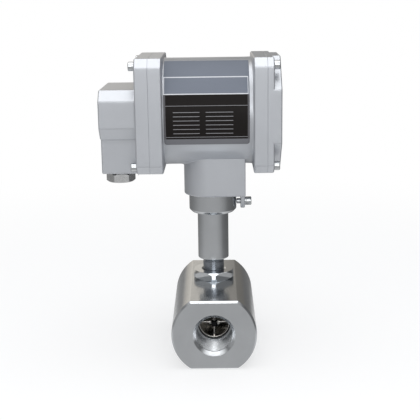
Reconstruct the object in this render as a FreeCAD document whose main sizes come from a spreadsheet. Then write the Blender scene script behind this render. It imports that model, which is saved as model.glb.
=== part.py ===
import FreeCAD, Part
import math
import os

import Sketcher

# Turbine flow meter: a threaded pipe body with a turbine cartridge inside,
# a stem that holds the magnetic pickup, and a round transmitter head with a
# terminal box on its left and a display window on its right.
#
# Frame, in millimetres: Z is up, the pipe runs along Y with its inlet at -Y,
# and the origin is on the flat under the body, below the stem's axis.

Vector = FreeCAD.Vector
Rotation = FreeCAD.Rotation
Placement = FreeCAD.Placement

doc = FreeCAD.newDocument("TurbineFlowMeter")

# Driving sizes
SIZES = (
    ("body_width", 45.0, "meter body, across the round"),
    ("body_flats", 37.5, "meter body, between its top and bottom flats"),
    ("inlet_reach", 45.0, "inlet face to the stem axis"),
    ("outlet_reach", 33.0, "outlet face to the stem axis"),
    ("body_bevel", 1.0, "bevel round both ends of the body"),
    ("port_radius", 9.5, "wall of the threaded ports"),
    ("port_mouth", 1.8, "countersink at each port, radially"),
    ("seat_radius", 8.8, "counterbore that holds the straighteners"),
    ("bore_radius", 7.5, "flow bore round the rotor"),
    ("shoulder_reach", 6.5, "rotor centre to the shoulders of the flow bore"),
    ("sleeve_wall", 1.0, "wall of a straightener's sleeve"),
    ("inlet_sleeve", 18.8, "length of the inlet straightener"),
    ("outlet_sleeve", 6.8, "length of the outlet straightener"),
    ("ring_setback", 1.0, "port step to the retaining ring"),
    ("ring_thickness", 1.0, "retaining ring, along the pipe"),
    ("ring_bite", 0.5, "depth of the retaining ring in its groove"),
    ("ring_gap", 3.0, "opening of the retaining ring"),
    ("vane_thickness", 0.9, "straightener vanes"),
    ("vane_setback", 1.2, "sleeve edge to the vanes"),
    ("hub_radius", 1.8, "hub of a straightener"),
    ("nose_radius", 1.65, "nose of a bearing, ahead of its hub"),
    ("nose_reach", 3.2, "length of a bearing's nose"),
    ("bearing_radius", 1.2, "bearing bush inside its hub"),
    ("shaft_radius", 0.6, "rotor shaft"),
    ("nose_bevel", 0.3, "bevel round a bearing's nose"),
    ("shaft_grip", 5.4, "length of the shaft in each bearing"),
    ("end_play", 0.2, "end play of the shaft in each bearing"),
    ("rotor_hub_radius", 2.1, "hub of the rotor"),
    ("rotor_hub_length", 10.0, "length of the rotor's hub"),
    ("blade_length", 8.0, "rotor blades, along the pipe"),
    ("blade_thickness", 0.8, "rotor blades"),
    ("blade_lead", 42.0, "advance of the blades' helix in one turn"),
    ("tip_clearance", 0.35, "blade tip to the flow bore"),
    ("well_floor", 2.0, "metal left between the pickup well and the flow bore"),
    ("thread_radius", 5.8, "threaded end of the stem"),
    ("nut_flats", 22.0, "lock nut on the body, across flats"),
    ("nut_height", 4.7, "lock nut, height"),
    ("nut_rim", 10.45, "radius where the nut's end bevels start"),
    ("thread_show", 5.6, "thread seen between the nut and the tube"),
    ("tube_radius", 8.5, "stem tube"),
    ("tube_taper", 2.6, "bevel under the tube, radially"),
    ("tube_taper_height", 1.4, "bevel under the tube, in height"),
    ("tube_wall", 1.8, "wall of the stem tube"),
    ("tube_show", 26.3, "straight tube seen under the collar"),
    ("bore_step", 2.0, "metal above the bore of the threaded end"),
    ("coil_radius", 4.0, "bore of the stem's threaded end"),
    ("coil_gap", 0.2, "foot of the stem to the coil"),
    ("coil_height", 12.0, "pickup coil"),
    ("coil_flange", 1.0, "end flanges of the coil"),
    ("coil_winding", 0.4, "coil winding, below the flanges"),
    ("core_radius", 1.2, "pole piece of the pickup"),
    ("magnet_height", 4.0, "magnet of the pickup"),
    ("collar_radius", 13.0, "collar under the head"),
    ("collar_bevel", 1.6, "bevel under the collar"),
    ("collar_show", 10.8, "collar seen under the neck"),
    ("collar_grip", 10.6, "length of the collar inside the neck"),
    ("collar_lip", 1.2, "lip of the collar over the tube"),
    ("neck_seal_section", 0.72, "radius of the neck seal's section"),
    ("lead_radius", 1.5, "signal lead inside the stem"),
    ("plug_radius", 3.2, "plug on the signal lead"),
    ("plug_length", 7.0, "plug on the signal lead"),
    ("plug_rise", 2.0, "top of the collar to the plug on the lead"),
    ("plug_taper", 1.2, "taper at the foot of the plug"),
    ("neck_radius", 15.5, "neck of the housing, its left reach and half depth"),
    ("neck_corner", 13.0, "rounded left corners of the neck"),
    ("neck_reach", 17.7, "stem axis to the neck's flat right side"),
    ("neck_drop", 44.8, "head axis to the underside of the neck"),
    ("neck_passage", 7.0, "wire passage above the collar"),
    ("lug_thickness", 2.4, "lug that carries the clamp screw"),
    ("lug_radius", 3.9, "round end of the lug"),
    ("lug_drop", 5.5, "underside of the neck to the clamp screw"),
    ("shell_radius", 28.6, "round shell of the housing"),
    ("shell_wall", 3.0, "wall of the shell"),
    ("seam_left", 32.4, "stem axis to the left seam"),
    ("seam_right", 28.8, "stem axis to the right seam"),
    ("flange_half", 30.0, "half the width of the square flanges"),
    ("flange_corner", 4.6, "bevelled corners of the flanges"),
    ("flange_thickness", 7.0, "flanges of the housing"),
    ("flange_edge", 0.5, "small bevel on the outer edges of castings"),
    ("cover_thickness", 7.0, "flange of the terminal cover"),
    ("plate_thickness", 3.5, "plate of the display cover"),
    ("pad_thickness", 3.9, "octagonal pad of the display cover"),
    ("pad_corner", 16.2, "cut corners of the octagonal pad"),
    ("window_radius", 18.0, "display window"),
    ("window_lip", 2.4, "lip in front of the window glass"),
    ("glass_radius", 20.6, "window glass"),
    ("glass_thickness", 3.0, "window glass"),
    ("seal_inset", 2.05, "inside of the shell to the centre of the cover seals"),
    ("seal_section", 0.75, "radius of the cover seals' section"),
    ("seal_room", 0.08, "room round a cover seal in its groove"),
    ("screw_across", 25.2, "cover screws, from the head axis along Y"),
    ("screw_up", 26.1, "cover screws, from the head axis along Z"),
    ("screw_radius", 1.5, "shank of the cover and clamp screws"),
    ("screw_head", 2.35, "head radius of the cover and clamp screws"),
    ("screw_head_length", 3.0, "head length of the cover and clamp screws"),
    ("screw_bite", 5.5, "length of a cover screw in the housing"),
    ("box_reach", 19.2, "terminal box, out from the cover's flange"),
    ("box_half", 26.5, "terminal box, half its width at the top"),
    ("box_top", 13.8, "head axis to the top of the box"),
    ("box_shoulder", 5.8, "head axis down to the box's lower bevel"),
    ("box_corner", 5.4, "bevels along the box"),
    ("box_waist", 12.2, "head axis down to the box's lower part"),
    ("box_lower_half", 18.0, "terminal box, half its width at the bottom"),
    ("box_bottom", 31.0, "head axis down to the underside of the box"),
    ("box_wall", 2.5, "walls of the terminal box"),
    ("entry_wall", 4.0, "wall of the box at the cable entry"),
    ("box_opening", 24.0, "opening between the box and the housing"),
    ("entry_out", 11.0, "cable entry, out from the cover's flange"),
    ("entry_radius", 6.0, "cable entry"),
    ("plug_flats", 13.9, "hexagon of the blanking plug, across flats"),
    ("plug_hex", 5.0, "hexagon of the blanking plug, height"),
    ("plug_collar", 1.2, "round collar of the blanking plug"),
    ("plug_thread", 5.5, "threaded length of the blanking plug"),
    ("plug_bevel", 0.6, "bevel at the end of the plug's thread"),
    ("plug_rim", 6.6, "radius where the plug's end bevels start"),
    ("washer_thickness", 1.0, "sealing washer of the blanking plug"),
    ("washer_rim", 0.6, "washer beyond the plug's collar"),
    ("clamp_washer_thickness", 0.6, "washer of the clamp screw"),
    ("boss_inset", 3.4, "inside of the shell to the centres of the posts"),
    ("boss_radius", 3.8, "posts inside the housing"),
    ("boss_left", 12.0, "stem axis to the left end of the posts"),
    ("boss_right", 2.0, "stem axis to the right end of the posts"),
    ("board_gap", 0.5, "inside of the shell to the round circuit boards"),
    ("board_thickness", 1.6, "circuit boards"),
    ("stack_screw", 1.25, "shank of the circuit boards' screws"),
    ("stack_head", 2.3, "head radius of the circuit boards' screws"),
    ("stack_head_length", 1.6, "head length of the circuit boards' screws"),
    ("standoff_radius", 2.5, "standoffs under the display board"),
    ("standoff_length", 20.4, "standoffs under the display board"),
    ("standoff_stud", 3.0, "studs of the standoffs in the posts"),
    ("board_bite", 4.5, "length of a board's screw behind the board"),
    ("lcd_width", 34.0, "display module, across"),
    ("lcd_height", 24.0, "display module, high"),
    ("lcd_depth", 7.2, "display module, deep"),
    ("bezel_radius", 22.0, "mask round the display"),
    ("bezel_thickness", 1.0, "mask round the display"),
    ("bezel_width", 29.0, "opening of the mask, across"),
    ("bezel_height", 17.0, "opening of the mask, high"),
    ("block_width", 26.0, "terminal block, across"),
    ("block_height", 11.0, "terminal block, high"),
    ("block_depth", 9.0, "terminal block, deep"),
    ("pole_pitch", 6.0, "pitch of the terminals"),
    ("pole_rise", 1.6, "terminal screws, above the middle of the block"),
    ("pole_well", 1.9, "wells of the terminal screws"),
    ("pole_well_depth", 3.0, "wells of the terminal screws"),
    ("pole_screw", 1.75, "heads of the terminal screws"),
    ("pole_screw_length", 1.6, "heads of the terminal screws"),
    ("wire_hole", 1.5, "wire holes under the terminals"),
    ("wire_hole_depth", 3.0, "wire holes under the terminals"),
    ("wire_hole_back", 5.5, "front of the block to the wire holes"),
    ("socket_half", 4.0, "half width of the socket for the signal lead"),
    ("socket_height", 6.5, "height of the socket for the signal lead"),
    ("label_gauge", 0.3, "thickness of the two rating plates"),
    ("label_left", 24.7, "stem axis to the plates' left edge"),
    ("label_right", 19.6, "stem axis to the plates' right edge"),
    ("label_top", 27.5, "head axis to the top of the upper plate"),
    ("label_split", 11.7, "head axis to the joint between the plates"),
    ("label_bottom", 14.6, "head axis down to the foot of the lower plate"),
    ("plate_glue", 0.03, "glue under the two rating plates"),
    ("press_play", 0.01, "play of pressed pieces"),
    ("running_play", 0.03, "radial play of the shaft in its bearings"),
    ("seat_play", 0.05, "play of seated and screwed pieces"),
)

# How far cutting tools run past the metal
OVERCUT = 1.0

BLADE_COUNT = 6
BLADE_STATIONS = 5
PLUG_SPIN = 8.0
NUT_SPIN = 30.0
TERMINAL_POLES = 4

# An inner outline keeps its 45 degree bevels parallel when each shortens by
# this share of the wall
BEVEL_SHARE = 2 - math.sqrt(2)

sheet = doc.addObject("Spreadsheet::Sheet", "Sizes")
for row, (size_name, size_value, size_note) in enumerate(SIZES, start=1):
    sheet.set(f"A{row}", size_name)
    sheet.set(f"B{row}", str(size_value))
    sheet.setAlias(f"B{row}", size_name)
    sheet.set(f"C{row}", size_note)
doc.recompute()


class Size:
    """A length that keeps its expression in the sheet and its present value."""

    def __init__(self, text, value):
        self.text = text
        self.value = value

    def join(self, sign, other, value):
        return Size(f"({self.text} {sign} {text_of(other)})", value)

    def __add__(self, other):
        return self.join("+", other, self.value + number(other))

    def __sub__(self, other):
        return self.join("-", other, self.value - number(other))

    def __mul__(self, other):
        return self.join("*", other, self.value * number(other))

    def __truediv__(self, other):
        return self.join("/", other, self.value / number(other))

    def __neg__(self):
        return Size(f"(-1 * {self.text})", -self.value)


class Sheet:
    """Gives each cell of the sheet by its name."""

    def __getattr__(self, name):
        return Size(f"Sizes.{name}", float(sheet.get(name)))


def number(length):
    return length.value if isinstance(length, Size) else float(length)


def text_of(length):
    return length.text if isinstance(length, Size) else repr(float(length))


S = Sheet()

# Levels and stations worked out from the driving sizes
pipe_z = S.body_flats / 2
body_length = S.inlet_reach + S.outlet_reach
bearing_y = S.shoulder_reach + S.seat_play
inlet_ring_y = bearing_y + S.inlet_sleeve + S.seat_play
outlet_ring_y = bearing_y + S.outlet_sleeve + S.seat_play
shaft_reach = bearing_y + S.shaft_grip
sleeve_outer = S.seat_radius - S.seat_play
sleeve_inner = sleeve_outer - S.sleeve_wall
nut_top = S.body_flats + S.nut_height
taper_z = nut_top + S.thread_show
tube_z = taper_z + S.tube_taper_height
collar_z = tube_z + S.tube_show
neck_z = collar_z + S.collar_show
collar_top = neck_z + S.collar_grip
head_z = neck_z + S.neck_drop
well_z = pipe_z + S.bore_radius + S.well_floor
left_seam = -S.seam_left
cover_left = left_seam - S.cover_thickness
box_left = cover_left - S.box_reach
plate_right = S.seam_right + S.plate_thickness
pad_right = plate_right + S.pad_thickness
shell_inner = S.shell_radius - S.shell_wall
seal_radius = shell_inner + S.seal_inset
board_radius = shell_inner - S.board_gap
boss_circle = shell_inner - S.boss_inset
entry_x = cover_left - S.entry_out
box_floor_z = head_z - S.box_bottom
screw_z = neck_z - S.lug_drop
board_x = -S.boss_left - S.board_thickness
display_x = -S.boss_right + S.standoff_length
bezel_x = display_x + S.board_thickness + S.lcd_depth

UPRIGHT = Rotation()
TURNS = {
    "z": UPRIGHT,
    "-z": Rotation(Vector(1, 0, 0), 180),
    "x": Rotation(Vector(1, 1, 1), 120),
    "-x": Rotation(Vector(0, 1, 0), -90),
    "y": Rotation(Vector(1, 0, 0), -90),
    "-y": Rotation(Vector(1, 0, 0), 90),
}

PIECES = []


def as_size(length):
    return Size(text_of(length), number(length))


def bind(thing, name, length):
    """Ties one property to the sheet, or sets it where it is a plain number."""
    if isinstance(length, Size):
        thing.setExpression(name, length.text)
    else:
        setattr(thing, name, float(length))


def place(thing, at, along="z", spin=0.0):
    """Turns the piece's own Z axis along an axis of the frame and moves it."""
    turn = TURNS[along].multiply(Rotation(Vector(0, 0, 1), spin))
    thing.Placement = Placement(Vector(*[number(part) for part in at]), turn)
    for letter, part in zip("xyz", at):
        if isinstance(part, Size):
            thing.setExpression(f"Placement.Base.{letter}", part.text)
    return thing


def cylinder(name, radius, length, at, along="z"):
    thing = doc.addObject("Part::Cylinder", name)
    bind(thing, "Radius", radius)
    bind(thing, "Height", length)
    return place(thing, at, along)


def block(name, low, high):
    """A box between two corners."""
    thing = doc.addObject("Part::Box", name)
    for side, start, end in zip(("Length", "Width", "Height"), low, high):
        bind(thing, side, as_size(end) - start)
    return place(thing, low)


def hexagon(name, across_flats, length, at, along="z", spin=0.0):
    thing = doc.addObject("Part::Prism", name)
    thing.Polygon = 6
    bind(thing, "Circumradius", across_flats / math.sqrt(3))
    bind(thing, "Height", length)
    return place(thing, at, along, spin)


def ring_section(name, centre_radius, section_radius, at, along="z"):
    thing = doc.addObject("Part::Torus", name)
    bind(thing, "Radius1", centre_radius)
    bind(thing, "Radius2", section_radius)
    return place(thing, at, along)


def union(name, *things):
    thing = doc.addObject("Part::MultiFuse", name)
    thing.Shapes = list(things)
    return thing


def minus(name, base, *tools):
    thing = doc.addObject("Part::Cut", name)
    thing.Base = base
    thing.Tool = tools[0] if len(tools) == 1 else union(f"{name}_tools", *tools)
    return thing


def overlap(name, first, second):
    thing = doc.addObject("Part::Common", name)
    thing.Base = first
    thing.Tool = second
    return thing


def group(name, things):
    thing = doc.addObject("Part::Compound", name)
    thing.Links = list(things)
    return thing


def polygon_sketch(body, plane_role, points):
    """A closed outline whose every corner is tied to the sheet."""
    plane = [item for item in body.Origin.OriginFeatures if item.Role == plane_role][0]
    sketch = body.newObject("Sketcher::SketchObject", f"{body.Name}_outline")
    sketch.AttachmentSupport = [(plane, "")]
    sketch.MapMode = "FlatFace"
    corners = [Vector(number(across), number(up), 0) for across, up in points]
    count = len(corners)
    for index in range(count):
        following = corners[(index + 1) % count]
        sketch.addGeometry(Part.LineSegment(corners[index], following), False)
    for index in range(count):
        sketch.addConstraint(Sketcher.Constraint("Coincident", index, 2, (index + 1) % count, 1))
    for index, point in enumerate(points):
        for kind, letter, length in zip(("DistanceX", "DistanceY"), "xy", point):
            held = Sketcher.Constraint(kind, -1, 1, index, 1, number(length))
            place_in_list = sketch.addConstraint(held)
            if isinstance(length, Size):
                sketch.renameConstraint(place_in_list, f"{letter}{index}")
                sketch.setExpression(f"Constraints.{letter}{index}", length.text)
    return sketch


def turned(name, points, at=(0, 0, 0), along="z"):
    """A piece turned on its own Z axis from an outline of (radius, height) points."""
    body = doc.addObject("PartDesign::Body", name)
    sketch = polygon_sketch(body, "XZ_Plane", points)
    turn = body.newObject("PartDesign::Revolution", f"{name}_turn")
    turn.Profile = sketch
    turn.ReferenceAxis = (sketch, ["V_Axis"])
    turn.Angle = 360
    place(body, at, along)
    doc.recompute()
    return body


def plate(name, points, thickness, at, along="z"):
    """A flat piece padded along its own Z axis from an outline in its own XY plane."""
    body = doc.addObject("PartDesign::Body", name)
    sketch = polygon_sketch(body, "XY_Plane", points)
    pad = body.newObject("PartDesign::Pad", f"{name}_pad")
    pad.Profile = sketch
    bind(pad, "Length", thickness)
    place(body, at, along)
    doc.recompute()
    return body


def bevel(body, size, wanted):
    """Bevels the edges of a body that the test picks, in the body's own frame."""
    tip = body.Tip
    names = [f"Edge{index}" for index, edge in enumerate(tip.Shape.Edges, start=1) if wanted(edge)]
    chamfer = body.newObject("PartDesign::Chamfer", f"{body.Name}_bevel")
    chamfer.Base = (tip, names)
    bind(chamfer, "Size", size)
    body.Tip = chamfer
    doc.recompute()
    return body


def level(height):
    """Picks the edges that lie flat at one height of the body's own frame."""
    def wanted(edge):
        box = edge.BoundBox
        return abs(box.ZMin - number(height)) < 1e-4 and abs(box.ZMax - number(height)) < 1e-4
    return wanted


def bevelled_square(half, corner):
    """The outline of a square with cut corners, round the origin."""
    short = half - corner
    return [
        (-short, -half), (short, -half), (half, -short), (half, short),
        (short, half), (-short, half), (-half, short), (-half, -short),
    ]


def finish(thing, label):
    """Names a finished piece and adds it to the list that is written out."""
    thing.Label = label
    PIECES.append(thing)
    return thing


def sink(body, points, top, depth):
    """Sinks a pocket with the given outline down from a height of the body's own frame."""
    sketch = polygon_sketch(body, "XY_Plane", points)
    sketch.AttachmentOffset = Placement(Vector(0, 0, number(top)), UPRIGHT)
    sketch.setExpression("AttachmentOffset.Base.z", text_of(top))
    pocket = body.newObject("PartDesign::Pocket", f"{body.Name}_pocket")
    pocket.Profile = sketch
    bind(pocket, "Length", depth)
    body.Tip = pocket
    doc.recompute()
    return body


def hexagon_points(across_flats):
    radius = across_flats / math.sqrt(3)
    angles = [math.radians(60 * step) for step in range(6)]
    return [(radius * math.cos(angle), radius * math.sin(angle)) for angle in angles]


def cap_screw(name, at, along, shank_length, shank, head, head_length):
    """A socket-head screw, seated at a point with its head along an axis."""
    rim = head_length * 0.1
    tip = shank * 0.2
    body = turned(
        name,
        [
            (0, -shank_length), (shank - tip, -shank_length), (shank, tip - shank_length),
            (shank, 0), (head, 0), (head, head_length - rim), (head - rim, head_length),
            (0, head_length),
        ],
        at, along,
    )
    return sink(body, hexagon_points(head), head_length, head_length * 0.55)


def six_sided(name, across_flats, height, rim, hole, at, spin):
    """A hexagon with both ends bevelled at 30 degrees from a rim outwards."""
    corner = across_flats / math.sqrt(3) + OVERCUT
    slope = (corner - rim) * math.tan(math.radians(30))
    rounder = turned(
        f"{name}_rounder",
        [
            (hole, 0), (rim, 0), (corner, slope), (corner, as_size(height) - slope),
            (rim, height), (hole, height),
        ],
        at,
    )
    prism = hexagon(f"{name}_prism", across_flats, height, at, "z", spin)
    return overlap(f"{name}_six_sided", prism, rounder)


def make_meter_body():
    """The pipe body: a round bar with two flats, bored through, with a pickup well."""
    body = doc.addObject("PartDesign::Body", "meter_body_bar")
    plane = [item for item in body.Origin.OriginFeatures if item.Role == "XY_Plane"][0]
    sketch = body.newObject("Sketcher::SketchObject", "bar_outline")
    sketch.AttachmentSupport = [(plane, "")]
    sketch.MapMode = "FlatFace"
    radius = S.body_width / 2
    up = pipe_z.value
    across = math.sqrt(radius.value ** 2 - up ** 2)
    angle = math.atan2(up, across)
    centre = Vector(0, 0, 0)
    upwards = Vector(0, 0, 1)
    right = Part.ArcOfCircle(Part.Circle(centre, upwards, radius.value), -angle, angle)
    left = Part.ArcOfCircle(Part.Circle(centre, upwards, radius.value), math.pi - angle, math.pi + angle)
    sketch.addGeometry(right, False)
    sketch.addGeometry(Part.LineSegment(Vector(across, up, 0), Vector(-across, up, 0)), False)
    sketch.addGeometry(left, False)
    sketch.addGeometry(Part.LineSegment(Vector(-across, -up, 0), Vector(across, -up, 0)), False)
    for first, second in ((0, 1), (1, 2), (2, 3), (3, 0)):
        sketch.addConstraint(Sketcher.Constraint("Coincident", first, 2, second, 1))
    for arc in (0, 2):
        sketch.addConstraint(Sketcher.Constraint("Coincident", arc, 3, -1, 1))
        held = sketch.addConstraint(Sketcher.Constraint("Radius", arc, radius.value))
        sketch.renameConstraint(held, f"radius{arc}")
        sketch.setExpression(f"Constraints.radius{arc}", radius.text)
    for line, height in ((1, pipe_z), (3, -pipe_z)):
        sketch.addConstraint(Sketcher.Constraint("Horizontal", line))
        held = sketch.addConstraint(Sketcher.Constraint("DistanceY", -1, 1, line, 1, height.value))
        sketch.renameConstraint(held, f"flat{line}")
        sketch.setExpression(f"Constraints.flat{line}", height.text)
    pad = body.newObject("PartDesign::Pad", "bar_pad")
    pad.Profile = sketch
    bind(pad, "Length", body_length)
    place(body, (0, S.outlet_reach, pipe_z), "-y")
    doc.recompute()
    bottom = level(0)
    top = level(body_length)
    bevel(body, S.body_bevel, lambda edge: bottom(edge) or top(edge))
    middle = S.outlet_reach
    mouth = S.port_radius + S.port_mouth
    groove_radius = S.seat_radius + S.ring_bite + S.seat_play
    out_near = middle - outlet_ring_y + S.seat_play
    out_far = middle - outlet_ring_y - S.ring_thickness
    out_step = out_far - S.ring_setback
    in_near = middle + inlet_ring_y - S.seat_play
    in_far = middle + inlet_ring_y + S.ring_thickness
    in_step = in_far + S.ring_setback
    bores = turned(
        "meter_body_bores",
        [
            (0, -OVERCUT), (mouth + OVERCUT, -OVERCUT), (S.port_radius, S.port_mouth),
            (S.port_radius, out_step), (S.seat_radius, out_step),
            (S.seat_radius, out_far), (groove_radius, out_far),
            (groove_radius, out_near), (S.seat_radius, out_near),
            (S.seat_radius, middle - S.shoulder_reach), (S.bore_radius, middle - S.shoulder_reach),
            (S.bore_radius, middle + S.shoulder_reach), (S.seat_radius, middle + S.shoulder_reach),
            (S.seat_radius, in_near), (groove_radius, in_near),
            (groove_radius, in_far), (S.seat_radius, in_far),
            (S.seat_radius, in_step), (S.port_radius, in_step),
            (S.port_radius, body_length - S.port_mouth),
            (mouth + OVERCUT, body_length + OVERCUT), (0, body_length + OVERCUT),
        ],
        (0, S.outlet_reach, pipe_z), "-y",
    )
    well = cylinder(
        "meter_body_well", S.thread_radius + S.seat_play, S.body_flats - well_z + OVERCUT, (0, 0, well_z),
    )
    finish(minus("meter_body_solid", body, bores, well), "meter_body")


def make_straightener(side, along, length):
    """A sleeve with four vanes and a hub, seated on the shoulder of the flow bore."""
    sign = -1 if along == "-y" else 1
    start = bearing_y
    vane_length = length - S.vane_setback
    name = f"{side}_straightener"
    base = (0, start * sign, pipe_z)
    sleeve = minus(
        f"{name}_sleeve",
        cylinder(f"{name}_outside", sleeve_outer, length, base, along),
        cylinder(f"{name}_inside", sleeve_inner, length, base, along),
    )
    low = start if sign > 0 else -(start + vane_length)
    high = start + vane_length if sign > 0 else -start
    half = S.vane_thickness / 2
    reach_out = sleeve_inner + S.sleeve_wall / 2
    vanes = union(
        f"{name}_vanes",
        block(f"{name}_flat_vanes", (-reach_out, low, pipe_z - half), (reach_out, high, pipe_z + half)),
        block(f"{name}_upright_vanes", (-half, low, pipe_z - reach_out), (half, high, pipe_z + reach_out)),
    )
    hub = cylinder(f"{name}_hub", S.hub_radius, vane_length, base, along)
    bush_hole = cylinder(
        f"{name}_bush_hole", S.bearing_radius + S.press_play, length, base, along,
    )
    solid = minus(f"{name}_solid", union(f"{name}_joined", sleeve, vanes, hub), bush_hole)
    finish(solid, name)
    make_bearing(side, along, base, vane_length)


def make_bearing(side, along, base, hub_length):
    """A hard bush in the hub, blind at its nose, which takes one end of the shaft."""
    bore = S.shaft_radius + S.running_play
    blind = S.shaft_grip + S.end_play
    nose = hub_length + S.press_play
    tip = hub_length + S.nose_reach
    body = turned(
        f"{side}_bearing_turned",
        [
            (bore, 0), (S.bearing_radius, 0), (S.bearing_radius, nose), (S.nose_radius, nose),
            (S.nose_radius, tip - S.nose_bevel), (S.nose_radius - S.nose_bevel, tip),
            (0, tip), (0, blind), (bore, blind),
        ],
        base, along,
    )
    finish(body, f"{side}_bearing")


def make_retaining_ring(side, along, inner_end):
    """A spring ring in the groove ahead of a straightener, open at its top."""
    sign = -1 if along == "-y" else 1
    at = (0, inner_end * sign, pipe_z)
    radius = S.seat_radius + S.ring_bite
    name = f"{side}_retaining_ring"
    half = S.ring_gap / 2
    near = inner_end - OVERCUT
    far = inner_end + S.ring_thickness + OVERCUT
    low = near if sign > 0 else -far
    high = far if sign > 0 else -near
    gap = block(f"{name}_gap", (-half, low, pipe_z + sleeve_inner / 2), (half, high, pipe_z + radius + OVERCUT))
    ring = cylinder(f"{name}_disc", radius, S.ring_thickness, at, along)
    hole = cylinder(f"{name}_hole", sleeve_inner, S.ring_thickness, at, along)
    finish(minus(f"{name}_solid", ring, hole, gap), name)


def make_rotor():
    """Helical blades on a hub, and the shaft that carries it."""
    half_hub = S.rotor_hub_length / 2
    root = (S.rotor_hub_radius * 0.8).value
    tip = (S.bore_radius - S.tip_clearance).value
    length = S.blade_length.value
    half_thick = S.blade_thickness.value / 2
    blades = []
    for blade in range(BLADE_COUNT):
        first = 2 * math.pi * blade / BLADE_COUNT
        sections = []
        for station in range(BLADE_STATIONS):
            along = station / (BLADE_STATIONS - 1)
            angle = first + 2 * math.pi * length * (along - 0.5) / S.blade_lead.value
            across = Vector(math.cos(angle), 0, math.sin(angle))
            side = Vector(-math.sin(angle), 0, math.cos(angle)) * half_thick
            forward = Vector(0, length * (along - 0.5), 0)
            corners = [
                forward + across * root - side, forward + across * tip - side,
                forward + across * tip + side, forward + across * root + side,
            ]
            sections.append(Part.makePolygon(corners + corners[:1]))
        blades.append(Part.makeLoft(sections, True, False))
    hub = Part.makeCylinder(
        S.rotor_hub_radius.value, S.rotor_hub_length.value, Vector(0, -half_hub.value, 0), Vector(0, 1, 0),
    )
    limit = Part.makeCylinder(tip, length * 2, Vector(0, -length, 0), Vector(0, 1, 0))
    wheel = doc.addObject("Part::Feature", "rotor_wheel")
    wheel.Shape = hub.fuse([blade.common(limit) for blade in blades]).removeSplitter()
    place(wheel, (0, 0, pipe_z))
    bore = cylinder(
        "rotor_bore", S.shaft_radius + S.press_play, S.rotor_hub_length + OVERCUT * 2,
        (0, -half_hub - OVERCUT, pipe_z), "y",
    )
    finish(minus("rotor_solid", wheel, bore), "turbine_rotor")
    point = S.shaft_radius / 2
    shaft = turned(
        "rotor_shaft_turned",
        [
            (0, -shaft_reach), (point, -shaft_reach), (S.shaft_radius, point - shaft_reach),
            (S.shaft_radius, shaft_reach - point), (point, shaft_reach), (0, shaft_reach),
        ],
        (0, 0, pipe_z), "y",
    )
    finish(shaft, "rotor_shaft")


def make_lock_nut():
    """The hexagon nut that locks the stem on the body's top flat."""
    nut = six_sided(
        "lock_nut", S.nut_flats, S.nut_height, S.nut_rim, S.thread_radius + S.seat_play,
        (0, 0, S.body_flats), NUT_SPIN,
    )
    finish(nut, "lock_nut")


def make_stem():
    """The pickup's tube with its threaded end, and the collar that carries the head."""
    foot = well_z + S.seat_play
    tube_bore = S.tube_radius - S.tube_wall
    top = collar_top - S.collar_lip
    step = tube_z + S.bore_step
    tube = turned(
        "stem_tube_turned",
        [
            (S.coil_radius, foot), (S.thread_radius, foot), (S.thread_radius, taper_z),
            (S.tube_radius - S.tube_taper, taper_z), (S.tube_radius, tube_z), (S.tube_radius, top),
            (tube_bore, top), (tube_bore, step), (S.coil_radius, step),
        ],
    )
    finish(tube, "stem_tube")
    fit = S.tube_radius + S.seat_play
    seal_z = neck_z + S.collar_grip / 2
    ring_radius = S.collar_radius - S.neck_seal_section - S.running_play
    groove = ring_radius - S.neck_seal_section - S.running_play
    groove_low = seal_z - S.neck_seal_section - S.seat_play
    groove_high = seal_z + S.neck_seal_section + S.seat_play
    collar = turned(
        "stem_collar_turned",
        [
            (fit, collar_z), (S.collar_radius - S.collar_bevel, collar_z),
            (S.collar_radius, collar_z + S.collar_bevel), (S.collar_radius, groove_low),
            (groove, groove_low), (groove, groove_high), (S.collar_radius, groove_high),
            (S.collar_radius, collar_top), (tube_bore, collar_top), (tube_bore, top + S.seat_play),
            (fit, top + S.seat_play),
        ],
    )
    finish(collar, "stem_collar")
    finish(ring_section("neck_seal_ring", ring_radius, S.neck_seal_section, (0, 0, seal_z)), "neck_seal")


def make_pickup():
    """Coil, pole piece and magnet in the stem, with the lead and its plug above."""
    foot = well_z + S.seat_play + S.coil_gap
    coil_top = foot + S.coil_height
    bobbin = S.coil_radius - S.seat_play
    winding = bobbin - S.coil_winding
    core = S.core_radius + S.press_play
    coil = turned(
        "pickup_coil_turned",
        [
            (core, foot), (bobbin, foot), (bobbin, foot + S.coil_flange), (winding, foot + S.coil_flange),
            (winding, coil_top - S.coil_flange), (bobbin, coil_top - S.coil_flange),
            (bobbin, coil_top), (core, coil_top),
        ],
    )
    finish(coil, "pickup_coil")
    finish(cylinder("pickup_core_rod", S.core_radius, S.coil_height, (0, 0, foot)), "pickup_core")
    finish(cylinder("magnet_disc", winding, S.magnet_height, (0, 0, coil_top)), "pickup_magnet")
    lead_z = coil_top + S.magnet_height
    plug_z = collar_top + S.plug_rise
    plug_top = plug_z + S.plug_length
    finish(cylinder("lead_round", S.lead_radius, plug_z - lead_z, (0, 0, lead_z)), "signal_lead")
    plug = turned(
        "signal_plug_turned",
        [
            (0, plug_z + S.seat_play), (S.plug_radius - S.plug_taper, plug_z + S.seat_play),
            (S.plug_radius, plug_z + S.plug_taper), (S.plug_radius, plug_top), (0, plug_top),
        ],
    )
    finish(plug, "signal_plug")
    socket = block(
        "signal_socket_block",
        (-S.boss_left, -S.socket_half, plug_top),
        (S.socket_half, S.socket_half, plug_top + S.socket_height),
    )
    finish(socket, "signal_socket")


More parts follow.
